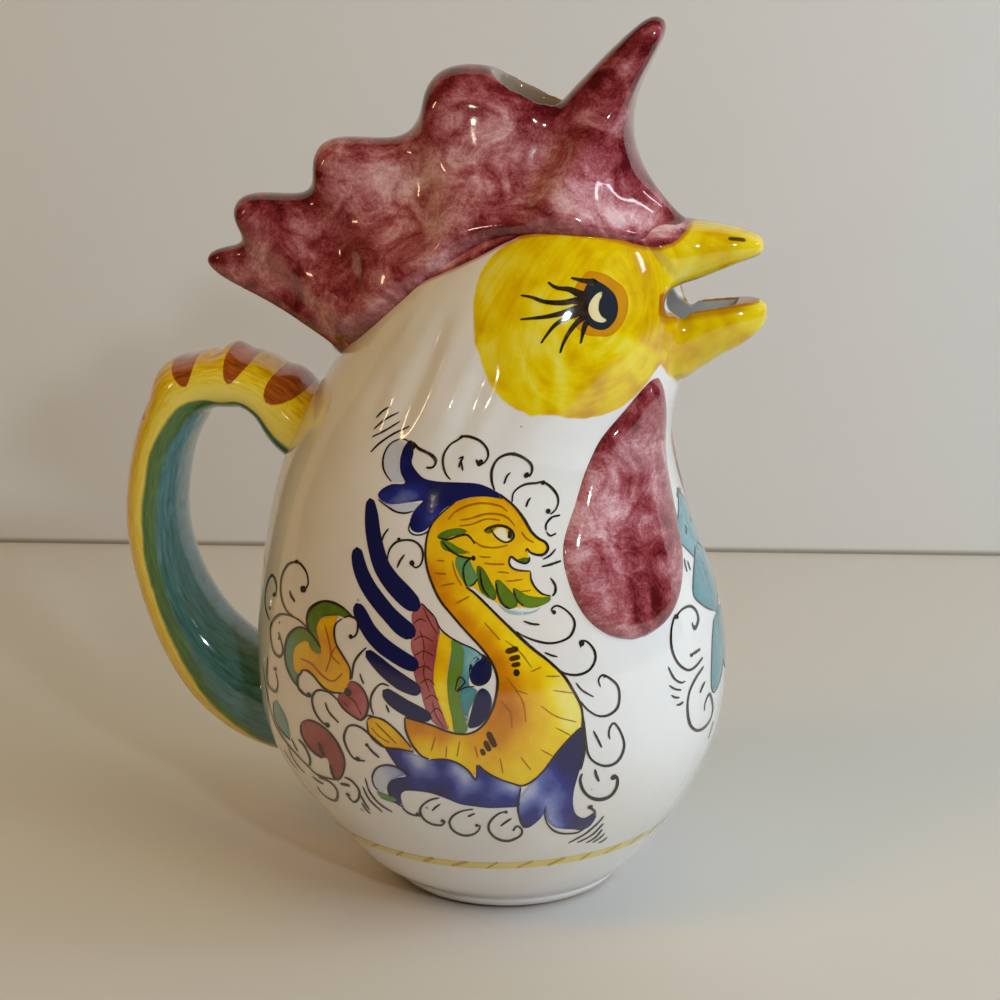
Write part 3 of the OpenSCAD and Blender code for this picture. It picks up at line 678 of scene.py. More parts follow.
def dotsFromPixels(sheet, dots, lift):
    for x, y, r in dots:
        path = castOnBody(np.stack([np.linspace(x - r, x + r, 9), np.full(9, y * 1.0)], 1))
        for side in bothSides:
            layStroke(sheet, path * (side, 1), r * paint["pixel"] * paint["press"], lift, 0.3)

def featherFromPixels(sheet, rows, lift, tone):
    for row in rows:
        line = throughPoints(np.array(row, float).reshape(-1, 3), 3)
        path, pixel = castOnBody(line[:, :2]), acrossSize(line[:, :2])
        for side in bothSides:
            layStroke(sheet, path * (side, 1), line[:, 2] * 0.6 * pixel, lift, tone, 6)

def fillFromPixels(sheet, outline, tones, lift, place=castOnBody):  # tones is one tone, or rows of x, y and tone
    bm, toneLayer, edgeLayer = sheet
    flat = bmesh.new()
    rim = throughPoints(np.array(outline, float).reshape(-1, 2), 2.5, closed=True)
    verts = [flat.verts.new((x, -y, 0)) for x, y in rim]
    edges = [flat.edges.new(pair) for pair in zip(verts, verts[1:] + verts[:1])]
    bmesh.ops.triangle_fill(flat, use_beauty=True, use_dissolve=False, edges=edges)
    for _ in range(5):
        long = [e for e in flat.edges if not e.is_boundary and e.calc_length() > paint["grain"]]
        if not long:
            break
        bmesh.ops.subdivide_edges(flat, edges=long, cuts=1)
        bmesh.ops.triangulate(flat, faces=[f for f in flat.faces if len(f.verts) > 3])
        bmesh.ops.beautify_fill(flat, faces=flat.faces, edges=[e for e in flat.edges if not e.is_boundary])
    flat.normal_update()
    bmesh.ops.reverse_faces(flat, faces=[f for f in flat.faces if f.normal.z < 0])
    spots = pointsOf(flat)[:, :2] * (1, -1)
    toRim = np.abs(signedDistance(spots, rim)) * paint["pixel"]
    hints = np.array(tones if isinstance(tones, list) else [(*rim[0], tones)], float)
    off = np.hypot(spots[:, None, 0] - hints[:, 0], spots[:, None, 1] - hints[:, 1])
    weight = 1 / (off ** 2 + paint["soft"]) ** 2
    tone = (weight * hints[:, 2]).sum(1) / weight.sum(1)
    placed = place(spots)
    for side in bothSides:
        if side < 0:
            bmesh.ops.reverse_faces(flat, faces=flat.faces)
        turn, z = placed[:, 0] * side, placed[:, 1]
        movePoints(flat, skin(z, turn, relief(turn, z) + lift))
        mesh = bpy.data.meshes.new("patch")
        flat.to_mesh(mesh)
        bm.from_mesh(mesh)
        bpy.data.meshes.remove(mesh)
        bm.verts.ensure_lookup_table()
        for v, t, e in zip(bm.verts[len(bm.verts) - len(tone):], tone, toRim):
            v[toneLayer], v[edgeLayer] = t, e
    flat.free()

def finishPaint(sheet, name, material):  # shading follows the glaze that the paint lies on
    bm = sheet[0]
    points = pointsOf(bm)
    turn, z = azimuthOf(points), points[:, 2]
    under = lambda turn, z: skin(z, turn, relief(turn, z))
    aside, up = under(turn + 0.3, z) - under(turn - 0.3, z), under(turn, z + 0.3) - under(turn, z - 0.3)
    normals = np.cross(aside, up)
    normals /= np.linalg.norm(normals, axis=1)[:, None]
    piece = toObject(bm, name, material)
    piece.data.normals_split_custom_set_from_vertices(normals.tolist())
    return piece

# The winged beast and its scrolls, a traditional ornament, drawn in pixels of the view from the camera
goldShapes = [
    ([500, 496, 514, 507, 524, 520, 531, 532, 538, 539, 544, 541.5, 547.5, 547, 545, 553, 538, 554.5, 530, 552.5, 528, 554,
     529.7, 559, 526.5, 563, 518, 561, 512, 557, 509.5, 561.5, 512, 566.5, 518, 570, 530, 570.8, 531, 578, 535, 587, 542,
     593.5, 550.5, 596, 549.5, 601, 541, 606, 531, 608, 520, 607, 508, 608, 500, 604, 492, 600, 482, 594, 473, 587, 470,
     590, 480, 600, 497, 616, 514.5, 632, 532, 648, 550, 662, 564, 676, 574, 692, 580, 705, 581, 717, 580, 727, 570, 738,
     558, 750, 548, 764, 538, 776, 528, 783.6, 521, 785, 510, 783, 500, 779, 488, 773, 480, 767, 475, 775, 467, 770, 458,
     763, 444, 760, 428, 758, 420, 754, 411, 743, 406, 730, 405, 717.5, 420, 721.6, 432, 725, 447, 731, 460, 733.6, 472,
     732.4, 482, 725, 491, 712, 496, 696, 497.4, 680, 494, 666, 486, 654, 478, 644, 464, 630, 450, 614, 440, 600, 431.7,
     582, 426.7, 565, 425.8, 550, 427.5, 535, 432, 523.5, 443, 511.7, 457, 501.7, 471, 497.5, 486, 496], [(432, 545, 0.6),
     (432, 575, 0.22), (445, 600, 0.18), (462, 622, 0.2), (482, 642, 0.25), (497, 662, 0.15), (503, 690, 0.08),
     (512, 715, 0.1), (500, 735, 0.16), (475, 742, 0.35), (440, 733, 0.15), (415, 726, 0.2), (425, 748, 0.75),
     (455, 752, 0.85), (480, 757, 0.6), (520, 745, 0.55), (545, 715, 0.62), (565, 700, 0.95), (574, 715, 1),
     (560, 690, 0.9), (545, 745, 0.7), (520, 772, 0.72), (530, 690, 0.5), (512, 640, 0.85), (525, 655, 0.8),
     (490, 615, 0.75), (475, 600, 0.8), (460, 590, 0.6), (448, 560, 0.65), (455, 530, 0.6), (450, 515, 0.4),
     (470, 502, 0.35), (495, 502, 0.45), (480, 510, 0.7), (490, 540, 0.65), (530, 545, 0.7), (520, 535, 0.45),
     (500, 570, 0.6), (520, 590, 0.65), (540, 600, 0.75), (490, 590, 0.6)]),
    ([367, 720, 372, 717.6, 382, 719, 392, 726, 402, 736, 411, 747, 414, 751, 400, 748.5, 386, 747, 376, 741, 369, 732],
     [(372, 724, 0.5), (385, 730, 0.8), (400, 743, 0.45)]),
    ([325, 617, 338, 615.6, 336, 622, 334.8, 631, 337, 644, 344, 658, 349.5, 668, 350, 679, 345, 689, 336, 692.4, 326, 690,
     316, 680, 306, 672, 298, 672.5, 294, 669, 293, 658, 295, 648, 302, 642, 308, 641, 311, 649, 320, 654.5, 321, 648, 318,
     636, 317, 626, 320, 620], [(328, 625, 0.6), (300, 655, 0.7), (330, 640, 0.35), (335, 670, 0.45), (342, 683, 0.6),
     (315, 668, 0.4), (322, 683, 0.7)]),
    ([440, 633, 451, 638, 451, 650, 449, 663, 447, 677, 447.5, 691, 449.5, 705, 452, 719, 454, 731, 449, 729.5, 444, 716,
     438, 700, 434, 686, 434, 670, 436, 656, 437.5, 645], [(437, 655, 0.35), (444, 650, 0.8), (441, 690, 0.8),
     (449, 722, 0.85)])]
greenShapes = [
    ([437, 537, 441, 532.5, 450, 529, 460, 528, 467, 530.5, 463, 534, 453, 536, 445, 539], 0.35),
    ([440, 541, 443, 549, 452, 552.5, 464, 554, 470, 552, 460, 548, 450, 542, 444, 540], 0.4),
    ([457, 556, 455.5, 565, 460, 576, 467, 587, 474, 584, 478, 578, 473, 567, 468, 558], 0.7),
    ([477, 566, 477, 578, 480, 590, 487, 597, 495, 600, 496, 592, 490, 580, 483, 568], 0.3),
    ([495, 581, 496, 592, 500, 603, 508, 609, 517, 606, 516, 597, 508, 588, 500, 580], 0.4),
    ([513, 588, 517, 599, 525, 607, 537, 607, 549, 601.5, 550, 597, 540, 597, 527, 595, 519, 590], 0.45),
    ([484, 531, 491, 527.5, 497, 526.5, 493, 531, 489, 534], 0.2),
    ([508, 527, 513, 530, 514.5, 536, 511, 540, 509, 534], 0.3),
    ([517, 560, 523, 557.5, 529, 558, 527, 563, 521, 562.5], 0.3),
    ([308, 622, 309, 612, 315, 604, 324, 601.5, 334, 603, 343, 608, 350, 614.5, 344, 617, 338, 615.5, 325, 616.5, 320, 620,
     317, 627, 318, 636, 321, 648, 315, 641, 309, 633], 0.35),
    ([286, 660, 286, 645, 291, 634, 299, 628, 308, 629, 314, 635, 320, 645, 320.5, 654, 312, 650, 308, 641.5, 302, 642, 295,
     648, 293.4, 658, 294.5, 670, 298, 674, 297, 684, 290, 676], [(290, 650, 0.85), (310, 640, 0.4), (292, 672, 0.95)]),
    ([452, 640, 462, 645, 464, 655, 463, 668, 461, 680, 460, 692, 461, 705, 465, 718, 467, 731, 460, 733, 454, 731, 452,
     718, 449, 704, 447.5, 690, 447.5, 677, 449.5, 663, 451.5, 650], [(455, 650, 0.6), (455, 690, 0.5), (460, 722, 0.55)]),
    ([377, 791, 386, 794, 395, 798, 400, 804, 391, 802, 381, 798], 0.7)]
tealShapes = [
    ([461, 643, 470, 647, 479, 652, 484, 657, 478, 661, 472, 668, 469, 678, 470, 686, 477, 690, 474, 700, 469, 712, 468,
     725, 467, 731, 465, 718, 461, 705, 460, 692, 461, 680, 463, 668, 464, 655], [(466, 655, 0.6), (465, 695, 0.4),
     (478, 656, 0.8)]),
    ([273, 703, 276, 700, 280, 706, 286, 717, 289, 729, 290, 740, 285, 737, 278, 727, 274, 715], 0.55),
    ([497, 603, 506, 609, 517, 611, 530, 611.5, 540, 608, 533, 613, 519, 615, 506, 612], 0.9)]
frontTeal = [  # azimuth and height
    ([-14.5, 104.5, -11, 101.5, -6.5, 97, -2, 93, 1.5, 90, 1.5, 107, -1, 113, -5, 109.5, -10, 106.5], 0.6),
    ([-14, 88.7, -10, 84.6, -4.5, 81.5, 1, 80, 1.5, 96, -2, 98, -6.5, 95.5, -11.5, 92], 0.45),
    ([-6, 79.5, -9.5, 75, -11.5, 69, -12, 63.5, -10, 61, -5, 62, 0.5, 66, 1.5, 79, -2, 80], 0.5)]
roseShapes = [
    ([421, 603, 428, 609, 434, 618, 439, 628, 440, 634, 437.5, 645, 436, 656, 434, 670, 434, 686, 438, 700, 444, 716, 449,
     729, 438, 726, 430, 718, 424, 704, 421, 692, 416, 681, 413.5, 670, 415, 660, 411.5, 650, 411, 640, 414, 630, 411.5,
     619, 413, 611], [(425, 620, 0.6), (418, 645, 0.7), (433, 650, 0.35), (424, 675, 0.6), (438, 718, 0.65)]),
    ([350, 681, 358, 684, 365, 692, 368.4, 704, 366, 715, 361, 719.6, 354, 716, 344, 708, 338, 700, 339, 694, 345, 690.5],
     [(345, 700, 0.45), (360, 705, 0.7)]),
    ([301, 723, 308, 720.5, 318, 724, 330, 733, 339, 746, 344, 760, 343.5, 772, 339, 779, 333, 778, 330, 768, 327, 758.5,
     322, 758, 312, 751, 304, 740, 300.5, 730], [(308, 735, 0.55), (335, 755, 0.5), (322, 752, 0.3), (337, 774, 0.4)])]
blueShapes = [
    ([412, 440, 414, 452, 412, 462, 416, 470, 424, 478, 436, 481, 450, 482, 466, 482.5, 480, 484, 492, 489, 500, 494, 503,
     499, 497, 498, 485, 496.5, 470, 497.5, 457, 501.5, 445, 508.5, 437, 517, 431, 525, 424, 531, 417, 532.5, 411, 529, 410,
     521, 414, 511, 420, 504, 423, 500.5, 412, 502, 398, 504, 388, 504, 381, 500, 378, 495, 382, 489, 392, 484, 405, 483,
     401, 473, 400, 462, 402, 452, 406, 444], [(408, 455, 0.1), (410, 475, 0.12), (440, 492, 0.05), (470, 490, 0.12),
     (495, 493, 0.1), (390, 490, 0.15), (385, 501, 0.45), (400, 501, 0.75), (412, 499.5, 0.6), (415, 520, 0.08),
     (430, 505, 0.1), (434, 517, 0.6), (424, 530, 0.3), (402, 462, 0.35)]),
    # the pale bands along the middles of this leaf and the next are partly a thinner blue wash and partly painted
    # highlight
    ([385, 747, 396, 749, 412, 753, 424, 757, 430, 759.5, 440, 758.5, 452, 761, 462, 766, 471, 773, 477, 779, 477.5, 765,
     484, 769, 492, 774, 502, 779, 512, 783, 519, 786, 521, 792, 518.5, 798, 519, 806, 505, 807.5, 490, 808, 475, 806.5,
     460, 804, 445, 798, 430, 793, 415, 791, 405, 791, 401, 795, 402, 802, 404, 807.5, 398, 805, 392, 800, 388, 793, 387,
     787, 390, 781, 398, 777.5, 406, 776, 398, 768, 391, 758], [(392, 753, 0.2), (404, 767, 0.18), (412, 757, 0.9),
     (420, 764, 0.95), (430, 771, 0.85), (425, 779, 0.2), (440, 765, 0.12), (450, 782, 0.18), (455, 771, 0.9),
     (465, 778, 1), (474, 784, 0.8), (482, 772, 0.1), (490, 784, 0.3), (500, 785, 0.85), (513, 789, 0.95), (505, 800, 0.2),
     (475, 797, 0.18), (440, 791, 0.15), (400, 785, 0.15), (396, 796, 0.3), (516, 803, 0.3)]),
    ([581, 727, 584, 737, 584.5, 750, 582, 762, 578, 775, 574, 790, 573, 804, 576, 814, 583, 818, 590, 815, 595.5, 811, 596,
     817, 590, 826, 582, 830, 573, 829.5, 564, 829, 554, 827, 547, 820, 545, 811, 541, 818, 530, 827, 523, 827.5, 519, 820,
     517.5, 808, 520, 796, 530, 784, 542, 771, 555, 753, 569, 737], [(577, 740, 0.06), (565, 765, 0.06), (550, 788, 0.12),
     (535, 812, 0.08), (524, 822, 0.1), (523, 797, 0.9), (533, 787, 0.92), (545, 778, 0.6), (523, 810, 0.75),
     (556, 790, 0.85), (552, 803, 0.95), (549, 815, 0.9), (556, 823, 0.8), (562, 800, 0.45), (569, 785, 0.12),
     (566, 812, 0.15), (575, 824, 0.1), (588, 821, 0.15)]),
    ([477, 656, 483, 654, 489, 660, 492, 668, 491, 677, 487, 683, 480, 686, 473, 684, 469.5, 677, 469, 668, 472, 660], 0.05),
    ([483, 688, 489, 692, 492, 701, 490, 711, 486, 719, 479, 726, 470, 728, 468, 724, 471, 712, 474, 700, 478, 691], 0.08),
    ([373, 775, 377, 768, 385, 765, 393, 766, 402, 770.5, 405, 775, 398, 777, 390, 781, 387, 787, 384, 792, 378, 790, 374,
     784], [(380, 775, 0.85), (395, 771, 0.7), (380, 787, 0.95)]),
    ([392, 481, 386, 472, 384, 462, 386, 452, 391, 445, 398, 441, 404, 444, 401, 452, 399, 462, 400, 473, 404, 481],
     [(389, 460, 1), (399, 465, 0.85), (402, 478, 0.9)]),
    ([381, 501, 388, 506, 396, 510.5, 405, 512, 413, 510, 419, 504, 410, 502, 395, 504], 1.0)]
feathers = [
    [370, 498, 6, 371.5, 515, 11, 373, 532, 12.5, 376.5, 550, 13.5, 382, 567, 14.5, 391, 581, 16, 401, 592, 17, 410, 601,
     16, 419, 609, 12],
    [357, 547, 8, 358, 560, 11, 362, 574, 12.5, 369, 588, 13.5, 379, 602, 14, 390, 615, 14, 401, 626, 15.5, 411, 633, 14,
     415, 636, 11],
    [356, 603, 8, 361, 615, 12, 369, 630, 13, 380, 643, 14, 393, 653, 14, 406, 661, 13.5, 419, 667, 11],
    [366, 651, 7, 377, 662, 11, 389, 673, 13, 403, 683, 13.5, 421, 692, 10],
    [383, 690, 8, 393, 699, 12, 405, 707, 13, 418, 713, 12, 432, 718, 8]]
inkStrokes = [  # width, then the points
    (2.6, 498, 493, 506, 499, 515, 507, 524, 519, 531, 531, 538, 538, 545, 542, 547.8, 548, 544, 553.8, 537, 554.6, 530,
    552, 527, 548.5, 525.5, 552), (2, 529.5, 556, 529, 561, 525, 563.3, 518, 561, 513, 557.5, 510.5, 556.5, 509, 562, 511.5,
    567, 518, 570, 530.5, 571), (3.4, 508.5, 530.5, 510, 534, 508.5, 538),
    (2.4, 484, 530.5, 490, 527, 498, 525.3, 506, 526.5, 513, 531),
    (2, 530.5, 571, 531, 579, 535, 587, 542, 593.5, 551, 596), (1.7, 484, 530, 492, 527, 502, 526, 511, 530, 514, 536, 511,
    540.5, 505, 542, 498, 538.5, 493, 533, 491, 528), (2, 437, 537, 447, 539.5, 458, 536, 466, 534.5, 471, 538, 475, 544),
    (2, 442, 541, 448, 548, 456, 554, 464, 557, 472, 558), (1.8, 475, 558, 468, 560, 463.5, 568, 464, 578, 467, 587),
    (1.8, 480, 568, 481, 580, 484, 590, 490, 597), (1.8, 496, 582, 498, 594, 503, 604, 510, 609),
    (1.8, 513, 589, 517, 600, 524, 606), (1.4, 478, 578, 474, 584, 470, 586), (2.2, 456, 501.5, 444, 511, 433, 522.5, 427.5,
    535, 425.5, 550, 426.5, 565, 431.5, 582, 440, 600, 452, 615, 464, 629, 478, 644, 487, 655, 494, 667, 497.5, 680, 496,
    696, 491, 712, 483, 725, 472, 732.5, 460, 733.8, 447, 731, 432, 725, 419, 721, 405, 717), (2.8, 466, 587, 474, 592.5,
    482, 600, 498, 616, 514.5, 632, 532, 648, 550, 662, 564, 676, 574, 692, 580.5, 705, 582.5, 717, 581.5, 728),
    (1.9, 405, 717, 406, 730, 412, 744, 421, 755, 429, 759),
    (1.6, 430, 759.5, 445, 759, 458, 763, 468, 770, 476, 779, 477, 764), (1.6, 478, 764, 488, 773, 500, 779, 512, 783, 521,
    785.5, 529, 783, 538, 776, 549, 764, 558, 751, 570, 738, 581, 727), (1.6, 582, 722, 584.5, 738, 584, 755, 580.5, 770),
    (1.7, 521, 786, 519, 798, 518, 810, 521, 822, 527, 828),
    (1.6, 546, 806, 544.5, 813, 547, 823, 553, 830, 562, 833.4, 576, 833, 584, 829), (1.5, 421, 603, 434, 616, 440, 628,
    450, 637, 462, 643.5, 474, 649, 484, 657, 489, 664),
    (1.5, 455, 691, 459, 677, 465, 682, 457, 691, 466, 687, 475, 686.5),
    (1.8, 367, 720, 372, 717, 382, 719, 392, 726, 402, 736, 412, 748),
    (1.8, 367, 720, 369, 733, 376, 741.5, 386, 747.5, 400, 749, 414, 752), (1.6, 361, 719, 368, 715.5, 376, 717), (1.5, 392,
    482, 385, 472, 383, 462, 385, 452, 390, 444, 397, 440, 404, 439, 411, 442),
    (1.6, 378, 499, 387, 506, 396, 511.5, 405, 513, 414, 511),
    (1.4, 410, 522, 409, 530, 414, 534.5, 422, 534.5, 428, 531, 432, 525),
    (2.6, 413, 441, 419, 448, 425, 451, 432, 455, 436, 461, 433, 467, 426, 467.5), (2.2, 451, 480, 446, 474, 443, 464, 444,
    454, 450, 445, 458, 440, 462, 437, 470, 437, 480, 441, 487, 449, 488, 457, 484, 463, 480, 465), (2.6, 495, 491, 492,
    482, 492, 470, 497, 460, 505, 455, 514, 454, 524, 458, 531, 464, 532, 471, 529, 477),
    (2, 476, 459, 477.5, 463, 480, 465), (2.2, 512, 503, 513, 494, 518, 488, 526, 484, 536, 483, 543, 482, 551, 487, 557,
    495, 558, 503, 555, 510, 550, 514), (2.2, 541, 566.5, 551, 564, 561, 560.5),
    (2, 546, 531, 546, 524, 552, 517, 560, 515), (1.8, 546, 531, 550, 535.5, 556, 533),
    (2.2, 550, 577, 555, 585, 555, 592, 552, 596), (2, 387, 562, 389, 551, 395, 543, 404, 540, 414, 541, 421, 547, 423, 555,
    421, 564, 416, 567.5, 412, 565), (2, 458, 459, 463, 457, 460, 463, 459, 468), (1.6, 461, 460, 462, 466, 463, 471),
    (2, 511, 472, 507, 476, 504, 484), (2, 531, 497, 528, 501, 526, 507), (1.8, 556, 548, 550, 555, 543, 559),
    (2, 405, 554, 400, 561, 397, 568), (1.7, 389, 528, 384, 535, 382, 541), (1.8, 391, 406, 383, 411, 376, 418),
    (1.8, 399, 412, 386, 419, 374, 429), (1.8, 400, 421, 386, 430, 372, 437), (2, 410, 426, 393, 434, 380, 443, 371, 452),
    (2.1, 554, 614, 551.5, 609, 557, 605.4, 566, 610, 573, 618, 574.4, 626, 570, 636, 560, 641.4, 548, 643, 534, 640, 522,
    635, 516, 631), (2, 523, 620.6, 531, 623.5, 540, 624.4), (2.2, 581, 648, 580, 641, 587, 641.6, 594, 650, 595, 660, 589,
    670, 578, 674.6, 566, 673.6, 556, 668, 550, 663), (1.8, 544, 652, 551, 655, 557.6, 656.6), (2.2, 600.6, 687.4, 598.4,
    680, 602, 675, 608, 677, 617, 685, 619.4, 696, 617, 708, 608, 715, 598, 715.6, 588, 710, 580, 701),
    (1.8, 575.4, 682, 582, 690, 594, 697), (2.2, 610, 739.4, 608.6, 734, 610, 727, 614, 723, 620, 731, 624, 744, 621, 756,
    614, 763.6, 604, 765.6, 594, 761.6, 588, 754, 585.5, 740, 584, 724, 582.4, 713), (2, 593, 730, 597, 738, 601.6, 747.4),
    (2.9, 616, 775, 617.4, 780, 616, 788, 610, 796, 600, 799.4, 590, 797, 583, 790, 580, 780, 582, 773),
    (2.6, 594.6, 768.6, 596, 775, 599, 781.6), (1.4, 604, 815.6, 598, 823, 585, 834, 568, 843.4),
    (1.4, 604, 823, 592, 835, 577, 843), (1.4, 602.6, 829, 596, 837, 586, 843.4), (1.3, 605, 833, 600, 838, 592, 843),
    (1.3, 607.6, 837, 603, 841, 598, 843.4), (2.4, 596, 812, 592, 809, 589, 806), (2, 507, 811, 498, 814, 490, 822, 489,
    830, 496, 838, 508, 841, 520, 836, 522, 830, 517, 826, 513, 831), (1.7, 512, 818, 506, 822, 500.6, 826), (1.9, 474, 809,
    462, 811, 453, 816, 449.6, 823, 454, 831, 464, 835.4, 474, 834, 479.4, 829, 480, 825), (1.6, 475.6, 813, 468, 816.6),
    (1.9, 440, 797.6, 430, 800, 422, 806, 420.4, 812, 424, 819, 432, 824, 442, 825, 446, 821),
    (1.7, 441, 803.6, 436, 807, 432, 811), (1.6, 402, 807, 406, 811, 411, 814, 418, 816), (1.7, 379, 791, 374, 785, 372.5,
    776, 377, 768, 385, 765, 394, 766, 404, 771, 410, 775), (2.2, 310, 633, 307, 622, 309, 611, 316, 604, 325, 601, 335,
    603, 345, 609, 353, 617), (2, 343, 618, 350, 616, 357, 620, 358, 628, 356, 635, 351, 638),
    (1.8, 343, 618, 336, 624, 334.5, 634, 337, 645, 344, 657, 350, 668, 350.5, 680), (2, 321, 648, 312, 634, 303, 627.5,
    295, 629, 288, 637, 285, 650, 286, 664, 291, 677, 297, 686),
    (1.9, 300, 671, 306, 670, 313, 675, 322, 686, 332, 692, 342, 693),
    (2.1, 303, 671, 298, 677, 298, 687, 303, 693, 309, 697), (1.7, 351, 681, 358, 683.5, 365, 692, 368.6, 704, 366, 715.5,
    361, 720, 353, 716, 343, 708, 337, 699), (1.9, 330, 727, 322, 722, 315, 712, 312, 700, 315, 692, 321, 690, 330, 693,
    338, 700), (1.6, 325, 701.6, 329, 712, 339, 723), (1.9, 366, 761, 355, 759, 348, 750, 344, 738, 347, 728, 353, 725, 362,
    728, 374, 738, 386, 748), (2, 367, 745, 373, 752, 380, 758), (2, 367, 647, 359, 655, 354, 664, 352, 679),
    (1.8, 360, 672.6, 361.5, 678, 364, 683.6), (1.9, 390, 686, 382, 683.6, 376, 688, 371.6, 696, 371, 706, 374, 715),
    (1.8, 386, 704, 389.6, 713), (1.8, 304, 591, 308.4, 584, 307, 573, 302, 565, 297, 562, 289, 564, 283, 574, 281, 588,
    283, 602, 288, 612, 293, 615.6), (1.8, 290, 590, 291.5, 595.5, 295.6, 602), (1.7, 310, 630, 298, 619, 284, 614, 276,
    617, 271, 626, 271, 640, 274, 652, 280, 656.6, 283, 650, 281, 640, 278.5, 632), (1.6, 270, 621, 266, 608, 265.6, 594,
    269, 580, 273, 575, 276.4, 582, 277, 590, 275, 596), (1.4, 269.4, 605, 270.6, 610), (1.6, 279.6, 621, 280, 624),
    (1.6, 278, 640, 280.5, 636), (1.5, 268, 656, 267, 668, 267, 680, 270, 688, 275.5, 691.5, 277.6, 684, 275.5, 672), (1.4,
    263, 664, 265, 680, 268, 698, 271, 712, 276, 726, 286, 742, 298, 756, 308, 766, 318, 775, 336, 780),
    (1.4, 273, 702, 274, 715, 279, 728, 290, 740), (1.7, 300.5, 723, 308, 720, 318, 723.5, 330, 733, 339, 746, 344.4, 760,
    343.5, 772, 339, 779.5, 333, 778.5), (1.6, 300.5, 724, 302, 736, 312, 751, 322, 758), (3, 319, 742, 321, 750, 324, 756),
    (2.2, 330, 764, 332, 772, 334, 778), (1.8, 344, 777, 352, 781, 359, 790, 359, 798, 354, 802, 348, 796),
    (2, 340, 783.6, 350, 785.6), (1.6, 318, 777, 330, 782, 337, 790, 337.6, 798, 334, 800.6, 324, 795, 317, 786),
    (1.4, 312, 776, 318, 781, 324, 784), (1.4, 365, 777.6, 370, 792, 380, 804, 393, 812.4),
    (1.4, 362.4, 786, 370, 800, 383, 812.4), (1.3, 361, 795, 365, 803, 370, 810), (1.3, 361.6, 802, 366, 809, 371, 814),
    (2, 298, 739, 305, 747, 310, 759, 309.6, 766), (1.4, 291, 738, 298, 752), (1.2, 286, 741, 292, 756, 299, 767, 305, 773),
    (1.2, 284, 749, 290, 760, 297, 769), (2, 675, 617, 682, 609, 690, 606, 696, 611, 698, 620, 694.4, 629, 691.6, 622),
    (2, 674, 616, 671, 630, 671.6, 648, 678, 663, 688, 670, 696, 666, 703, 657), (2, 691, 655, 695, 652.5, 700, 649), (1.9,
    704, 666, 696, 678, 689.6, 692, 687.6, 708, 690, 724, 697, 730.4, 705, 727, 711, 718, 713, 706, 710, 694, 705.6, 702,
    704.4, 711), (1.7, 705.4, 681, 702.5, 687, 700, 693), (1.8, 668, 666.6, 674, 678, 681, 682.6, 685.6, 681),
    (1.8, 668.6, 685, 675, 689, 681.6, 690), (1.8, 671, 695, 675, 697.4, 679.6, 697.6),
    (1.8, 676, 705, 680, 704.4, 683.4, 702), (1.4, 684, 558, 685, 565, 687, 572), (1.4, 687, 560, 690, 570),
    (1.4, 685, 524, 686.4, 529, 686, 534), (1.4, 714, 720, 711, 730, 708, 739)]
inkDots = [
    (480, 463, 3.2), (526.5, 475, 2.7), (548, 511, 2.4), (412, 563, 2.6), (399, 539.5, 1.9), (461, 437.5, 1.9),
    (543, 482.5, 2.2), (514, 454, 1.7), (473.5, 558, 2.3), (554, 612, 2), (581.5, 643, 2.8), (613.5, 777, 3),
    (590, 807, 2.6), (477, 825.3, 2.1), (443, 821, 2.4), (418.5, 814.5, 2.6), (351, 636.5, 2.1), (309, 695, 2.4),
    (327.5, 725, 2.4), (358, 759, 2.4), (367, 745, 1.8), (303.6, 589, 3), (297, 561.5, 1.8), (275, 594.5, 1.8),
    (348, 692, 3.6), (348, 794.5, 2), (275, 669, 1.7), (676, 616.5, 2.2), (694.5, 627.5, 2), (679, 489.5, 1.8),
    (516.5, 672.5, 3.3), (691.5, 655, 1.6), (413, 447, 3), (506, 812, 1.8), (604.5, 676, 1.4)]
bodyMarks = [
    (5.2, 505, 652, 512, 650, 518.5, 648), (4.8, 509, 659.5, 514, 658, 520, 656.5),
    (4.4, 511, 665.5, 516, 664.5, 520.5, 663.5), (5.6, 488, 731, 491.5, 739, 495.5, 747), (5, 485, 740, 487, 745, 490, 751),
    (4.4, 482, 748, 482.5, 751, 484.5, 755)]
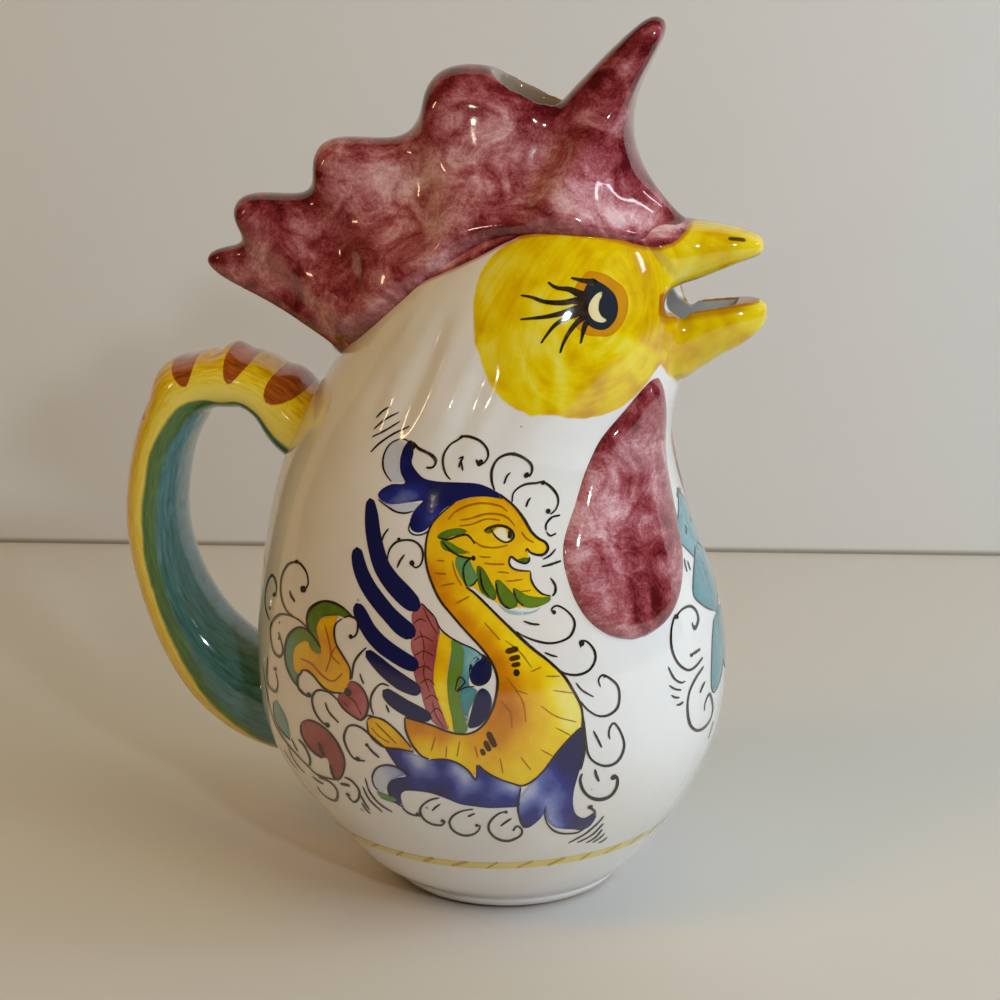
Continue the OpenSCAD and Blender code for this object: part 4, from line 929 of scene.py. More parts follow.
ochreLines = [
    (2, 448, 520, 455, 512, 468, 505.5, 483, 503, 500, 506, 508, 512),
    (2, 460, 520, 470, 518.5, 485, 514, 498, 514, 508, 518, 515, 526), (1.6, 458, 526, 472, 524, 486, 519, 500, 520),
    (1.8, 473, 540, 482, 546, 495, 547.5, 508, 545), (1.5, 478, 556, 484, 557, 491, 557),
    (1.8, 483, 563, 494, 564, 505, 564), (1.5, 497, 572, 503, 572, 509, 573), (1.4, 505, 581, 514, 580.5, 523, 579),
    (1.4, 520, 591, 525, 591, 531, 590), (1.8, 521, 531, 526, 538, 534, 542.5), (1.5, 436, 560, 444, 561),
    (1.8, 434, 573, 446, 574), (1.5, 440, 586, 455, 583), (1.6, 455, 604, 470, 596), (1.4, 484, 622, 500, 640),
    (1.3, 505, 640, 520, 652, 532, 668), (1.2, 545, 676, 560, 676), (1.2, 552, 690, 573, 693),
    (1.2, 540, 705, 556, 716, 577, 722), (1.2, 530, 672, 541, 667), (1.2, 555, 727, 572, 736), (1.3, 460, 740, 457, 757),
    (1.3, 436, 735, 431, 752), (1.3, 447, 745, 446, 757), (1.3, 500, 757, 503, 773), (1.3, 520, 756, 531, 770),
    (1.3, 540, 749, 553, 756), (1.3, 475, 745, 478, 758), (1.2, 516, 690, 528, 694),
    (1.6, 300, 658, 312, 664, 322, 675, 333, 681, 343, 673), (1.6, 325, 624, 329, 640, 331, 655, 326, 672),
    (1.5, 337, 645, 332, 655, 340, 664), (1.6, 375, 722, 385, 732, 397, 744), (1.4, 371, 727, 379, 736, 390, 743),
    (1.4, 452, 560, 456, 575, 462, 586), (1.6, 500, 700, 510, 712, 512, 728), (1.4, 506, 676, 522, 700, 526, 722)]
scaleLines = [
    (1.3, 413, 624, 420, 619, 427, 622), (1.3, 423, 607, 430, 622, 438, 635), (1.3, 413, 641, 422, 636, 433, 641),
    (1.3, 414, 656, 424, 651, 434, 656), (1.3, 416, 669, 425, 666, 433, 671), (1.3, 419, 684, 428, 679, 435, 685),
    (1.3, 424, 700, 432, 695, 439, 700), (1.3, 430, 714, 437, 708, 443, 714), (1.2, 420, 630, 424, 645, 423, 660),
    (1.2, 425, 660, 424, 675, 430, 692), (1.2, 432, 700, 436, 715, 444, 727), (1.3, 345, 694, 355, 702, 362, 716),
    (1.2, 341, 700, 349, 707)]
eyeShapes = dict(
    ring=[589, 271, 598, 272, 607, 275, 616, 281, 624, 288, 628, 299, 627, 313, 621, 326, 611, 335.5, 601, 336.5, 587, 335,
          577, 328, 574, 315, 574, 300, 575, 287, 582, 277],
    dark=[592, 278, 599, 281.5, 607, 286.5, 615, 295, 618, 306, 616.5, 317, 610, 326.5, 602, 330, 593, 328, 586.5, 323,
          582.5, 315, 581, 303, 583, 293, 587, 284],
    light=[601.7, 291.5, 595, 295, 589.5, 303, 588.5, 311.5, 593, 319.5, 601.5, 322.5, 606.5, 320, 601.5, 316.5, 598.5,
          310, 599, 301.5, 601.5, 296])
lashes = [
    (4.6, 597, 283.5, 590, 281.5, 581, 280, 571, 277.5),
    (5, 588, 297, 578, 293, 569, 289, 558, 287.8, 552, 285, 548, 281.5),
    (5, 588, 302, 576, 300.5, 562, 302.5, 545, 301.5, 532, 297, 520.5, 294.8),
    (5.2, 588, 306, 576, 308.5, 562, 313, 546, 316.5, 533, 318, 520, 319.2),
    (5, 588, 310, 579, 313, 568, 317.5, 556, 324, 547, 334.5, 541, 343.3),
    (4.8, 588, 315, 579, 320.5, 570, 331, 563.5, 343, 560, 353.3), (4.2, 587, 320, 584.5, 327, 582.5, 335, 580.5, 343.8)]

# Where the yellow of the face and the red of the comb end on the head
facePixels = [
    (519, 239), (505, 245), (492, 256), (482, 271), (475.5, 287), (473, 303), (473, 322), (474.5, 341), (480, 362),
    (489, 384), (502, 400), (515, 409), (524, 413), (530, 417), (541, 415.5), (556, 416.5), (572, 419), (587, 419),
    (602, 416), (618, 409), (634, 397), (649, 380), (660, 363.5), (664, 370), (669, 376), (676, 381)]
redPixels = [
    (470, 262), (500, 246), (520, 237), (540, 232.5), (560, 231.5), (580, 233), (600, 236), (617, 239.5), (635, 245),
    (645, 247.3), (653, 248), (660, 247.5), (667, 246), (673, 243.5), (678, 240), (682, 236), (685.5, 232), (689, 226.5),
    (691.5, 221), (693, 215)]

eye = dict(pixel=(601, 306), reach=6, soft=3)
masks = dict(reach=6.0, head=138, lipsFrom=43, lipsTo=67.5, nostril=3, comb=20)  # how far off each mask still tells

def paintMasks(piece):  # how far in from the edges of the yellow and the red, and where a point lies round the eye
    mesh = piece.data
    p = meshPoints(mesh) / mm
    turn, z = -np.abs(azimuthOf(p)), p[:, 2]
    scale = np.array([body["perDegree"], 1.0])
    face = np.concatenate([castOnBody(facePixels), [(-6, 145), (6, 144.4), (6, 205), (-110, 205)]])
    red = np.concatenate([castOnBody(redPixels), [(-5, 184.5), (6, 185), (6, 215), (-140, 215), (-140, 170)]])
    head = z > masks["head"]
    for name, outline in (("facePaint", face), ("redPaint", red)):
        values = np.full(len(p), -masks["reach"])
        inside = signedDistance(np.stack([turn, z], 1)[head], outline, scale)
        values[head] = np.clip(inside, -masks["reach"], masks["reach"])
        markPoints(mesh, **{name: values})
    eyeTurn, eyeZ = castOnBody([eye["pixel"]])[0]
    aside, up = (turn - eyeTurn) * body["perDegree"], z - eyeZ
    out = np.hypot(aside, up)
    mesh.attributes.new("roundEye", "FLOAT_VECTOR", "POINT").data.foreach_set(
        "vector", np.stack([out / eye["reach"], aside / (out + eye["soft"]), up / (out + eye["soft"])], 1).ravel())

nostril = dict(pixels=[(730.5, 238.6), (743.5, 239.9)], half=0.42)

def beakMasks(piece):  # inside of the open beak, the brown line of its lips with painted shade on the lower lip's rim, and the nostrils
    mesh = piece.data
    p, n = meshPoints(mesh) / mm, meshPoints(mesh, "normal")
    ahead = (p[:, 0] - beaks["root"]) / beaks["long"]
    lowLip, highLip = (smoothTable(rows, np.clip(ahead, rows[0][0], rows[-1][0]))[:, 2] for rows in (lowerRows, upperRows))
    axis = beaks["mouthZ"] + beaks["gape"] * lowLip
    under = beaks["mouthZ"] + beaks["gape"] * highLip - p[:, 2]
    inward = -(n[:, 1] * p[:, 1] + n[:, 2] * (p[:, 2] - axis)) / np.maximum(np.hypot(p[:, 1], p[:, 2] - axis), 1)
    slot = -signedDistance(p[:, [0, 2]], np.array(mouthOutline()))
    low = (p[:, 2] < axis + 3) & (p[:, 0] > beaks["slotX"])
    inside = np.maximum(ease(inward, 0.1, 0.45) * low, ease(-heightOver(p), 0.7, 1.4) * (slot < 9))
    lips = (p[:, 0] > masks["lipsFrom"]) & (p[:, 0] < masks["lipsTo"])
    edge = (1 - ease(slot, 0.45, 1.2)) * ease(heightOver(p), -1.8, -0.8) * lips
    inside = inside * (1 - edge)
    # a broad soft brown band on the lower lip near the slot: painted shade under the upper beak
    soft = 0.7 * (1 - ease(slot, 1.2, 2.6)) * low * (1 - ease(p[:, 0], 62, 68))
    top = ease(under, -1.2, -0.5) * (under < 2) * (p[:, 2] > axis + 3) * (slot < 3)
    rim = np.maximum(edge, np.maximum(soft, top) * (1 - inside) * lips)
    near = np.stack([p[:, 0], -np.abs(p[:, 1]), p[:, 2]], 1)  # both sides are marked as the side in view
    start, runs = sightLines(nostril["pixels"])
    ends = [np.array(piece.ray_cast(Vector(start) * mm, Vector(run).normalized())[1]) / mm for run in runs]
    line = ends[1] - ends[0]
    t = np.clip((near - ends[0]) @ line / (line @ line), 0, 1)
    off = np.linalg.norm(near - ends[0] - t[:, None] * line, axis=1)
    markPoints(mesh, isBeak=np.ones(len(p)), mouthInside=inside, lipLine=np.clip(rim, 0, 1),
               nostril=np.clip(off, 0, masks["nostril"]))
    brow = np.array(redPixels[8:] + [(700, 200), (600, 200)], float)
    red = signedDistance(pixelsOf(near), brow, (paint["pixel"], paint["pixel"]))
    mesh.attributes["redPaint"].data.foreach_set("value", np.clip(red, -masks["reach"], masks["reach"]))

def combMasks(piece):  # how far in from the crests and from the head, and the inside of the fill mouth
    mesh = piece.data
    p, n = meshPoints(mesh) / mm, meshPoints(mesh, "normal")
    crest = np.array([(browX - combLong * (1 - along), heelZ + combHigh * high) for along, high, _, _ in combRows])
    seatX = np.linspace(heelX, browX, 24)
    seat = np.stack([seatX, seatHeight(seatX)], 1)

    def toLine(line):
        best = np.full(len(p), np.inf)
        for a, b in zip(line, line[1:]):
            t = np.clip((p[:, [0, 2]] - a) @ (b - a) / ((b - a) @ (b - a)), 0, 1)
            best = np.minimum(best, np.linalg.norm(p[:, [0, 2]] - a - t[:, None] * (b - a), axis=1))
        return np.clip(best, 0, masks["comb"])

    middle = browX - combLong * (1 - comb["fillX"])
    nearX, nearY = comb["fillLong"] / 2 + 7, comb["fillWide"] / 2 + 2
    slot = (np.abs(p[:, 0] - middle) < nearX) & (np.abs(p[:, 1]) < nearY) & (p[:, 2] > fillRows[0][0] - 2)
    ahead = (p[:, 0] - middle) * 0.4
    toAxis = -(n[:, 1] * p[:, 1] + n[:, 0] * ahead) / (np.hypot(p[:, 1], ahead) + 0.3)
    markPoints(mesh, fromCrest=toLine(crest), fromHead=toLine(seat), fillInside=ease(toAxis, 0.25, 0.7) * slot)

combMasks(combPiece)
paintMasks(bodyPiece)
bodyPoints = meshPoints(bodyPiece.data) / mm
# the pocket behind the beaks is bare glaze
inPocket = (bodyPoints[:, 2] < 183) & (bodyPoints[:, 0] > 15)
markPoints(bodyPiece.data, mouthInside=ease(-heightOver(bodyPoints), 0.9, 2) * inPocket)
paintMasks(beakPiece)
beakMasks(beakPiece)
print("glaze areas marked")

# Materials; tints are given as seen, from 0 to 255
def tint(r, g, b):
    return tuple(((c / 255 + 0.055) / 1.055) ** 2.4 if c > 10 else c / 255 / 12.92 for c in (r, g, b)) + (1,)

def add(tree, kind, inputs=None, **settings):
    node = tree.nodes.new("ShaderNode" + kind)
    for key, value in settings.items():
        setattr(node, key, value)
    for key, value in (inputs or {}).items():
        if isinstance(value, bpy.types.NodeSocket):
            tree.links.new(value, node.inputs[key])
        else:
            node.inputs[key].default_value = value
    return node

def calc(tree, a, b, operation="ADD", clamp=False):
    return add(tree, "Math", {0: a, 1: b}, operation=operation, use_clamp=clamp).outputs[0]

def times(tree, a, b, clamp=False):
    return calc(tree, a, b, "MULTIPLY", clamp)

def mix(tree, share, a, b):
    return add(tree, "Mix", {0: share, 6: a, 7: b}, data_type="RGBA").outputs[2]

def smoothStep(tree, value, low, high):
    inputs = {"Value": value, "From Min": low, "From Max": high}
    return add(tree, "MapRange", inputs, interpolation_type="SMOOTHSTEP").outputs[0]

def fade(tree, value, low, high):  # one below low, nothing above high
    return calc(tree, 1.0, smoothStep(tree, value, low, high), "SUBTRACT")

def centred(tree, value, strength):  # a value round a half, turned into a swing round nothing
    return times(tree, calc(tree, value, -0.5), strength)

def blend(tree, *parts):  # a tone of a half, swung by each value with its strength
    tone = 0.5
    for value, strength in parts:
        tone = calc(tree, tone, centred(tree, value, strength))
    return tone

def colours(tree, value, stops):  # each stop is a place and a tint
    node = add(tree, "ValToRGB", {0: value})
    ramp = node.color_ramp.elements
    while len(ramp) < len(stops):
        ramp.new(0.5)
    for element, (place, *shade) in zip(ramp, stops):
        element.position, element.color = place, tint(*shade)
    return node.outputs[0]

def noise(tree, vector, scale, detail=3, rough=0.55, distortion=0):
    inputs = {"Vector": vector, "Scale": scale, "Detail": detail, "Roughness": rough, "Distortion": distortion}
    return add(tree, "TexNoise", inputs).outputs[0]

def attribute(tree, name, output="Fac"):
    return add(tree, "Attribute", attribute_name=name).outputs[output]

def newGroup(name, inputs, outputs):
    group = bpy.data.node_groups.new(name, "ShaderNodeTree")
    for direction, sockets in (("INPUT", inputs), ("OUTPUT", outputs)):
        for label, kind in sockets:
            group.interface.new_socket(name=label, in_out=direction, socket_type="NodeSocket" + kind)
    return group, group.nodes.new("NodeGroupInput"), group.nodes.new("NodeGroupOutput")

# Sizes of the patterns are noise scales, per metre
glaze = dict(swell=55, ripple=420, rippleShare=0.12, cells=150, speck=0.11, rare=0.8, pinhole=-0.25, cloud=22)
wash = dict(wander=9, bend=0.25, streaks=14, pools=3.4, grain=60)
finish = dict(rough=0.09, coat=0.7, coatRough=0.03, ior=1.52, bump=0.55, bumpDistance=0.0003)

def glazeGroup():  # slow swell of the glaze, pinholes and dark specks
    outputs = [("Height", "Float"), ("Specks", "Float"), ("Cloud", "Float")]
    group, start, end = newGroup("glazeSkin", [("Vector", "Vector")], outputs)
    v = start.outputs[0]
    ripple = times(group, noise(group, v, glaze["ripple"], 2), glaze["rippleShare"])
    swell = calc(group, noise(group, v, glaze["swell"], 2), ripple)
    cells = add(group, "TexVoronoi", {"Vector": v, "Scale": glaze["cells"], "Randomness": 1})
    chance = add(group, "SeparateColor", {0: cells.outputs["Color"]})
    inDot = calc(group, cells.outputs["Distance"], times(group, chance.outputs[1], glaze["speck"]), "LESS_THAN")
    dot = times(group, inDot, calc(group, chance.outputs[0], glaze["rare"], "GREATER_THAN"))
    group.links.new(calc(group, swell, times(group, dot, glaze["pinhole"])), end.inputs["Height"])
    group.links.new(dot, end.inputs["Specks"])
    group.links.new(noise(group, v, glaze["cloud"], 4, 0.6), end.inputs["Cloud"])
    return group

def washGroup():  # a colour put on thin with a loaded brush: streaks along one way, pools and pale grains
    group, start, end = newGroup("brushWash", [("Vector", "Vector"), ("Grain", "Float")], [("Tone", "Float")])
    v = start.outputs[0]
    wander = add(group, "TexNoise", {"Vector": v, "Scale": wash["wander"], "Detail": 2}).outputs["Color"]
    bend = add(group, "VectorMath", {0: wander, 1: (0.5, 0.5, 0.5)}, operation="SUBTRACT").outputs[0]
    bent = add(group, "VectorMath", {0: bend, 1: (wash["bend"],) * 3, 2: v}, operation="MULTIPLY_ADD").outputs[0]
    tone = times(group, noise(group, bent, wash["streaks"], 6, 0.62, 0.6), 0.62)
    tone = calc(group, tone, times(group, noise(group, v, wash["pools"], 3, 0.6, 0.4), 0.5))
    tone = calc(group, tone, times(group, noise(group, v, start.outputs[1], 2, 0.7), 0.2))
    group.links.new(calc(group, tone, -0.16, clamp=True), end.inputs["Tone"])
    return group

glazeSkin, brushWash = glazeGroup(), washGroup()

def newMaterial(name, rough=None):
    material = bpy.data.materials.new(name)
    material.use_nodes = True
    tree = material.node_tree
    shader = tree.nodes["Principled BSDF"]
    for key, value in (("Roughness", finish["rough"] if rough is None else rough), ("Coat Weight", finish["coat"]),
                       ("Coat Roughness", finish["coatRough"]), ("IOR", finish["ior"])):
        shader.inputs[key].default_value = value
    place = add(tree, "TexCoord").outputs["Object"]
    skinNode = add(tree, "Group", {0: place}, node_tree=glazeSkin)
    bump = {"Strength": finish["bump"], "Distance": finish["bumpDistance"], "Height": skinNode.outputs["Height"]}
    tree.links.new(add(tree, "Bump", bump).outputs[0], shader.inputs["Normal"])
    return material, tree, shader, place, skinNode

redStops = [(0.1, 84, 16, 22), (0.3, 130, 46, 52), (0.5, 164, 88, 94), (0.68, 196, 136, 142), (0.9, 224, 186, 190)]
redWash = dict(pools=30, clouds=85, deep=14, grain=1400)

def redColour(tree, place, turn, along, across, dark=None):  # crimson brushed on thin: pools, clouds, streaks, grains
    way = {"Vector": place, "Rotation": (0, turn, 0), "Scale": (along, redWash["deep"], across)}
    brush = add(tree, "Group", {0: add(tree, "Mapping", way).outputs[0], "Grain": wash["grain"]}, node_tree=brushWash)
    tone = blend(tree, (noise(tree, place, redWash["pools"], 2, 0.5, 0.6), 1.25),
                 (noise(tree, place, redWash["clouds"], 5, 0.62, 1.4), 1.35), (brush.outputs["Tone"], 0.7),
                 (noise(tree, place, redWash["grain"], 2, 0.7), 0.4))
    return colours(tree, tone if dark is None else calc(tree, tone, dark, "SUBTRACT"), redStops)

def redMaterial(name, turn, along, across, isComb=False):
    material, tree, shader, place, _ = newMaterial(name)
    dark = None
    if isComb:  # darker along the crest, and darker at the foot as painted shade where the comb meets the head
        crest, foot = fade(tree, attribute(tree, "fromCrest"), 0.5, 9), fade(tree, attribute(tree, "fromHead"), 1, 7)
        dark = calc(tree, times(tree, crest, 0.26), times(tree, foot, 0.26))
    colour = redColour(tree, place, turn, along, across, dark)
    # the inside of the fill mouth is greyish brown, partly its own colour and partly painted shade
    if isComb:
        colour = mix(tree, attribute(tree, "fillInside"), colour, tint(150, 134, 116))
    tree.links.new(colour, shader.inputs["Base Color"])
    return material

def paintedGlaze():
    material, tree, shader, place, skinNode = newMaterial("paintedWhiteGlaze")
    cloud = smoothStep(tree, skinNode.outputs["Cloud"], 0.35, 0.7)
    white = mix(tree, cloud, tint(234, 232, 229), tint(226, 222, 216))
    white = mix(tree, times(tree, skinNode.outputs["Specks"], 0.55), white, tint(120, 118, 120))
    wobble = centred(tree, noise(tree, place, 160, 2), 1.1)
    # yellow wash, brushed round the eye, darker at its rim
    rings = {0: attribute(tree, "roundEye", "Vector"), 1: (1.1, 1.3, 1.3)}
    strokes = noise(tree, add(tree, "VectorMath", rings, operation="MULTIPLY").outputs[0], 1.5, 4, 0.55, 0.7)
    patches, fine = noise(tree, place, 48, 2, 0.5, 1.2), noise(tree, place, 260, 3, 0.6, 0.8)
    tone = blend(tree, (strokes, 0.6), (patches, 1.25), (fine, 0.2))
    tone = calc(tree, tone, times(tree, fade(tree, attribute(tree, "facePaint"), 0, 4), 0.12), "SUBTRACT")
    yellow = colours(tree, tone, [(0.2, 202, 150, 0), (0.38, 220, 178, 0), (0.5, 228, 198, 2), (0.62, 232, 210, 40),
                                  (0.8, 232, 222, 112)])
    faceMask = smoothStep(tree, calc(tree, attribute(tree, "facePaint"), wobble), -0.3, 0.35)
    colour = mix(tree, faceMask, white, yellow)
    # red of the comb run onto the head, darker near its edge as painted shade along the comb's foot, with an orange
    # edge where it lies on yellow
    red = redColour(tree, place, 0.3, 9, 24, times(tree, fade(tree, attribute(tree, "redPaint"), 0, 3), 0.34))
    redEdge = calc(tree, attribute(tree, "redPaint"), times(tree, wobble, 0.8))
    edgeColour = mix(tree, faceMask, tint(196, 140, 140), tint(176, 98, 20))
    colour = mix(tree, times(tree, smoothStep(tree, redEdge, -1.1, -0.2), 0.75), colour, edgeColour)
    colour = mix(tree, smoothStep(tree, redEdge, -0.1, 0.5), colour, red)
    # lips with painted shade on the lower lip's rim, inside of the beak and nostrils
    colour = mix(tree, times(tree, attribute(tree, "lipLine"), 0.85), colour, tint(158, 88, 8))
    colour = mix(tree, attribute(tree, "mouthInside"), colour, tint(222, 221, 218))
    hole = fade(tree, attribute(tree, "nostril"), nostril["half"], nostril["half"] + 0.35)
    colour = mix(tree, times(tree, times(tree, hole, attribute(tree, "isBeak")), 0.92), colour, tint(52, 40, 18))
    tree.links.new(colour, shader.inputs["Base Color"])
    return material

def brushedMaterial(name, stops, cover, streaky):
    material, tree, shader, place, _ = newMaterial(name)
    tone = calc(tree, attribute(tree, "tone"), centred(tree, noise(tree, place, 190, 4, 0.6, 1.2), streaky))
    tone = calc(tree, tone, times(tree, fade(tree, attribute(tree, "edge"), 0.1, 0.9), 0.06), "SUBTRACT")
    tree.links.new(colours(tree, tone, stops), shader.inputs["Base Color"])
    ragged = calc(tree, attribute(tree, "edge"), centred(tree, noise(tree, place, 700, 2), 0.22))
    tree.links.new(times(tree, smoothStep(tree, ragged, -0.1, 0.07), cover), shader.inputs["Alpha"])
    return material

def inkMaterial():
    material, tree, shader, place, _ = newMaterial("inkBrown")
    ink = colours(tree, noise(tree, place, 260, 4, 0.65), [(0.35, 30, 22, 16), (0.6, 58, 46, 36), (0.8, 96, 84, 72)])
    tree.links.new(ink, shader.inputs["Base Color"])
    return material

def handleMaterial():
    material, tree, shader, place, _ = newMaterial("handleGlaze")
    along, around, rustMark = (attribute(tree, name) for name in ("along", "around", "rustMark"))
    wobble = centred(tree, noise(tree, place, 120, 3), 0.09)
    share = calc(tree, around, wobble)
    way = add(tree, "CombineXYZ", {0: times(tree, along, 9.0), 1: times(tree, around, 9.0)}).outputs[0]
    brushed = noise(tree, way, 3, 5, 0.6, 0.5)
    # the yellow is darker ochre on the back ridge as painted shade and paler toward the sides as painted highlight
    yellow = colours(tree, calc(tree, brushed, times(tree, around, 0.9, True)),
                     [(0.3, 176, 124, 4), (0.5, 216, 166, 6), (0.72, 236, 204, 26), (0.92, 240, 222, 96)])
    green = colours(tree, brushed, [(0.3, 52, 92, 44), (0.6, 80, 120, 52), (0.8, 104, 138, 58)])
    lower = times(tree, calc(tree, along, -0.35), 0.35)  # the teal is darker toward the handle's foot: painted shade where the handle's inside meets the body
    teal = colours(tree, calc(tree, brushed, lower, "SUBTRACT"),
                   [(0.12, 58, 94, 86), (0.45, 78, 132, 140), (0.8, 116, 176, 194)])
    rust = colours(tree, brushed, [(0.3, 120, 52, 14), (0.55, 168, 86, 26), (0.8, 196, 118, 40)])
    inGreen, inTeal = (calc(tree, share, attribute(tree, name), "SUBTRACT") for name in ("greenFrom", "tealFrom"))
    colour = mix(tree, smoothStep(tree, inGreen, -0.035, 0.03), yellow, green)
    colour = mix(tree, smoothStep(tree, inTeal, -0.05, 0.05), colour, teal)
    colour = mix(tree, smoothStep(tree, calc(tree, rustMark, times(tree, wobble, 2.0)), -0.06, 0.08), colour, rust)
    tree.links.new(colour, shader.inputs["Base Color"])
    return material

def clayMaterial():  # bare clay where the foot stands, glaze above it
    material, tree, shader, place, _ = newMaterial("footClay", 0.3)
    height = add(tree, "SeparateXYZ", {0: place}).outputs[2]
    glazed = smoothStep(tree, calc(tree, height, times(tree, noise(tree, place, 160, 3), 0.0012)), 0.0012, 0.0022)
    clay = colours(tree, noise(tree, place, 500, 4), [(0.3, 176, 112, 78), (0.7, 206, 150, 112)])
    tree.links.new(mix(tree, glazed, clay, tint(230, 227, 222)), shader.inputs["Base Color"])
    rough = add(tree, "MapRange", {"Value": glazed, "To Min": 0.75, "To Max": finish["rough"]}).outputs[0]
    tree.links.new(rough, shader.inputs["Roughness"])
    return material

whiteGlaze = paintedGlaze()
combRed = redMaterial("combRed", 0.75, 9, 24, True)
wattleRed = redMaterial("wattleRed", 1.45, 8, 34)
for piece, material in ((bodyPiece, whiteGlaze), (beakPiece, whiteGlaze), (combPiece, combRed), (wattleRight, wattleRed),
                        (wattleLeft, wattleRed), (handlePiece, handleMaterial()), (footPiece, clayMaterial())):
    piece.data.materials.append(material)
print("materials made")

# The painted ornament, the same on both sides; each paint's tints from thick to thin
paintStops = dict(
    gold=[(0.02, 178, 98, 8), (0.3, 214, 138, 10), (0.55, 232, 178, 12), (0.8, 242, 212, 26), (1, 240, 230, 130)],
    green=[(0.1, 52, 80, 26), (0.45, 104, 134, 34), (0.7, 96, 142, 84), (0.95, 98, 150, 140)],
    teal=[(0.15, 40, 96, 104), (0.5, 82, 146, 156), (0.9, 160, 200, 206)],
    rose=[(0.1, 108, 36, 40), (0.5, 158, 74, 78), (0.9, 200, 130, 130)],
    blue=[(0, 40, 44, 54), (0.06, 26, 28, 74), (0.2, 24, 26, 88), (0.42, 40, 48, 134), (0.64, 108, 120, 184),
          (0.86, 200, 206, 224)],
    ochre=[(0.05, 70, 38, 14), (0.3, 120, 52, 36), (0.6, 182, 116, 8), (0.9, 222, 150, 16)],
    cream=[(0.5, 226, 206, 90), (1, 236, 230, 206)],
    rope=[(0.1, 190, 140, 20), (0.45, 218, 188, 70), (0.75, 232, 212, 110), (1, 240, 230, 160)])
paintCover, paintStreaks = dict(ochre=0.85, rope=0.95), dict(blue=0.16)
beastEye = [494, 531, 499, 528, 505, 528.5, 507, 534, 509, 540, 504, 541, 498, 537.5]
ropeLine = dict(height=21.6, wide=3.1, twists=36, lean=2.6, wave=0.12, under=1.4, over=1.35, half=0.5)
frontInk = [  # width in pixels, then azimuth and height
    (2.2, -4.5, 81.5, -10, 84.6, -14.2, 88.7, -11.5, 92.5, -6.5, 96, -1.5, 98.5),
    (2, -6, 79.5, -9.6, 75, -11.7, 69, -12.2, 63.5, -10, 60.6, -4.5, 62, 0, 66),
    (1.8, -15, 105, -10, 107, -5, 110, 0, 113.5), (1.8, -15, 104.5, -11, 101.3, -6, 96.6)]

def paintBeast(sheets):
    for name, shapes, lift in (("gold", goldShapes, "fill"), ("green", greenShapes, "shade"), ("teal", tealShapes, "shade"),
                               ("rose", roseShapes, "fill"), ("blue", blueShapes, "shade")):
        for outline, tones in shapes:
            fillFromPixels(sheets[name], outline, tones, paint[lift])
    featherFromPixels(sheets["blue"], feathers, paint["over"], 0.12)
    strokesFromPixels(sheets["ink"], inkStrokes, paint["ink"])
    dotsFromPixels(sheets["ink"], inkDots, paint["ink"])
    strokesFromPixels(sheets["ochre"], bodyMarks, paint["ink"], 0.0, taper=0.2)
    strokesFromPixels(sheets["ochre"], ochreLines, paint["line"], 0.6)
    strokesFromPixels(sheets["ochre"], scaleLines, paint["line"], 0.3)
    fillFromPixels(sheets["cream"], beastEye, 0.95, paint["over"])

def paintEye(sheets):
    for name, part, tone, lift in (("ochre", "ring", 0.85, "fill"), ("blue", "dark", -0.1, "over"),
                                   ("cream", "light", 0.8, "ink")):
        fillFromPixels(sheets[name], eyeShapes[part], tone, paint[lift])
    strokesFromPixels(sheets["ink"], lashes, paint["ink"], pointed=True)

def paintFront(sheets):  # the plant between the wattles, drawn in azimuth and height
    for outline, tone in frontTeal:
        flipped = (np.reshape(outline, (-1, 2)) * (1, -1)).ravel()
        fillFromPixels(sheets["teal"], flipped, tone, paint["fill"], place=lambda spots: spots * (1, -1))
    for row in frontInk:
        path = throughPoints(np.array(row[1:], float).reshape(-1, 2), 0.8)
        for side in bothSides:
            layStroke(sheets["ink"], path * (side, 1), row[0] * paint["pixel"] / 2, paint["ink"])

def paintRope(sheet):  # a line round the foot of the belly, with slanting twists
    turns, middle = np.arange(-180, 181, 1.5), ropeLine["height"]
    line = np.stack([turns, middle + ropeLine["wave"] * np.sin(np.radians(turns * 5))], 1)
    layStroke(sheet, line, ropeLine["wide"] / 2, paint["fill"], 0.75, 3)
    for k in range(ropeLine["twists"]):
        t = 360 * k / ropeLine["twists"] - 180
        lean = ropeLine["lean"] * (1 + 0.25 * math.sin(k * 2.3))
        twist = [(t - lean, middle - ropeLine["under"]), (t, middle + 0.1), (t + lean, middle + ropeLine["over"])]
        layStroke(sheet, throughPoints(twist, 1.2), ropeLine["half"] + 0.14 * math.sin(k * 1.7), paint["over"], 0.25)

def paintPieces():
    sheets = {name: newPaint() for name in (*paintStops, "ink")}
    paintBeast(sheets)
    paintEye(sheets)
    paintFront(sheets)
    paintRope(sheets["rope"])
    made = []
    for name, stops in paintStops.items():
        cover, streaky = paintCover.get(name, 1.0), paintStreaks.get(name, 0.3)
        material = brushedMaterial("brushed" + name.capitalize(), stops, cover, streaky)
        made.append(finishPaint(sheets[name], name + "Paint", material))
    return made + [finishPaint(sheets["ink"], "inkPaint", inkMaterial())]

painted = paintPieces()
print("painted pieces:", {p.name: len(p.data.polygons) for p in painted})

# Pieces on the frame
for piece, slotName, nodes in ((bodyPiece, "white_glaze", ("body_shell",)),
                               (beakPiece, "beak_glaze", ("upper_beak", "lower_beak")),
                               (combPiece, "comb_glaze", ("comb_shell",)),
                               (wattleRight, "wattle_glaze", ("wattle_right",)),
                               (wattleLeft, "wattle_glaze", ("wattle_left",)),
                               (handlePiece, "handle_glaze", ("handle",)),
                               (footPiece, "foot_clay", ("foot_ring",))):
    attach(piece, "root")
    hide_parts(*nodes)
for piece in painted:
    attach(piece, "root")

# Studio
studio = dict(floor=tint(212, 209, 204), wall=tint(222, 222, 221), wallFootShade=tint(150, 142, 130), wallAt=988, wallTurn=2.5,
              floorHalf=3000, wallHalf=900, wallHigh=900)

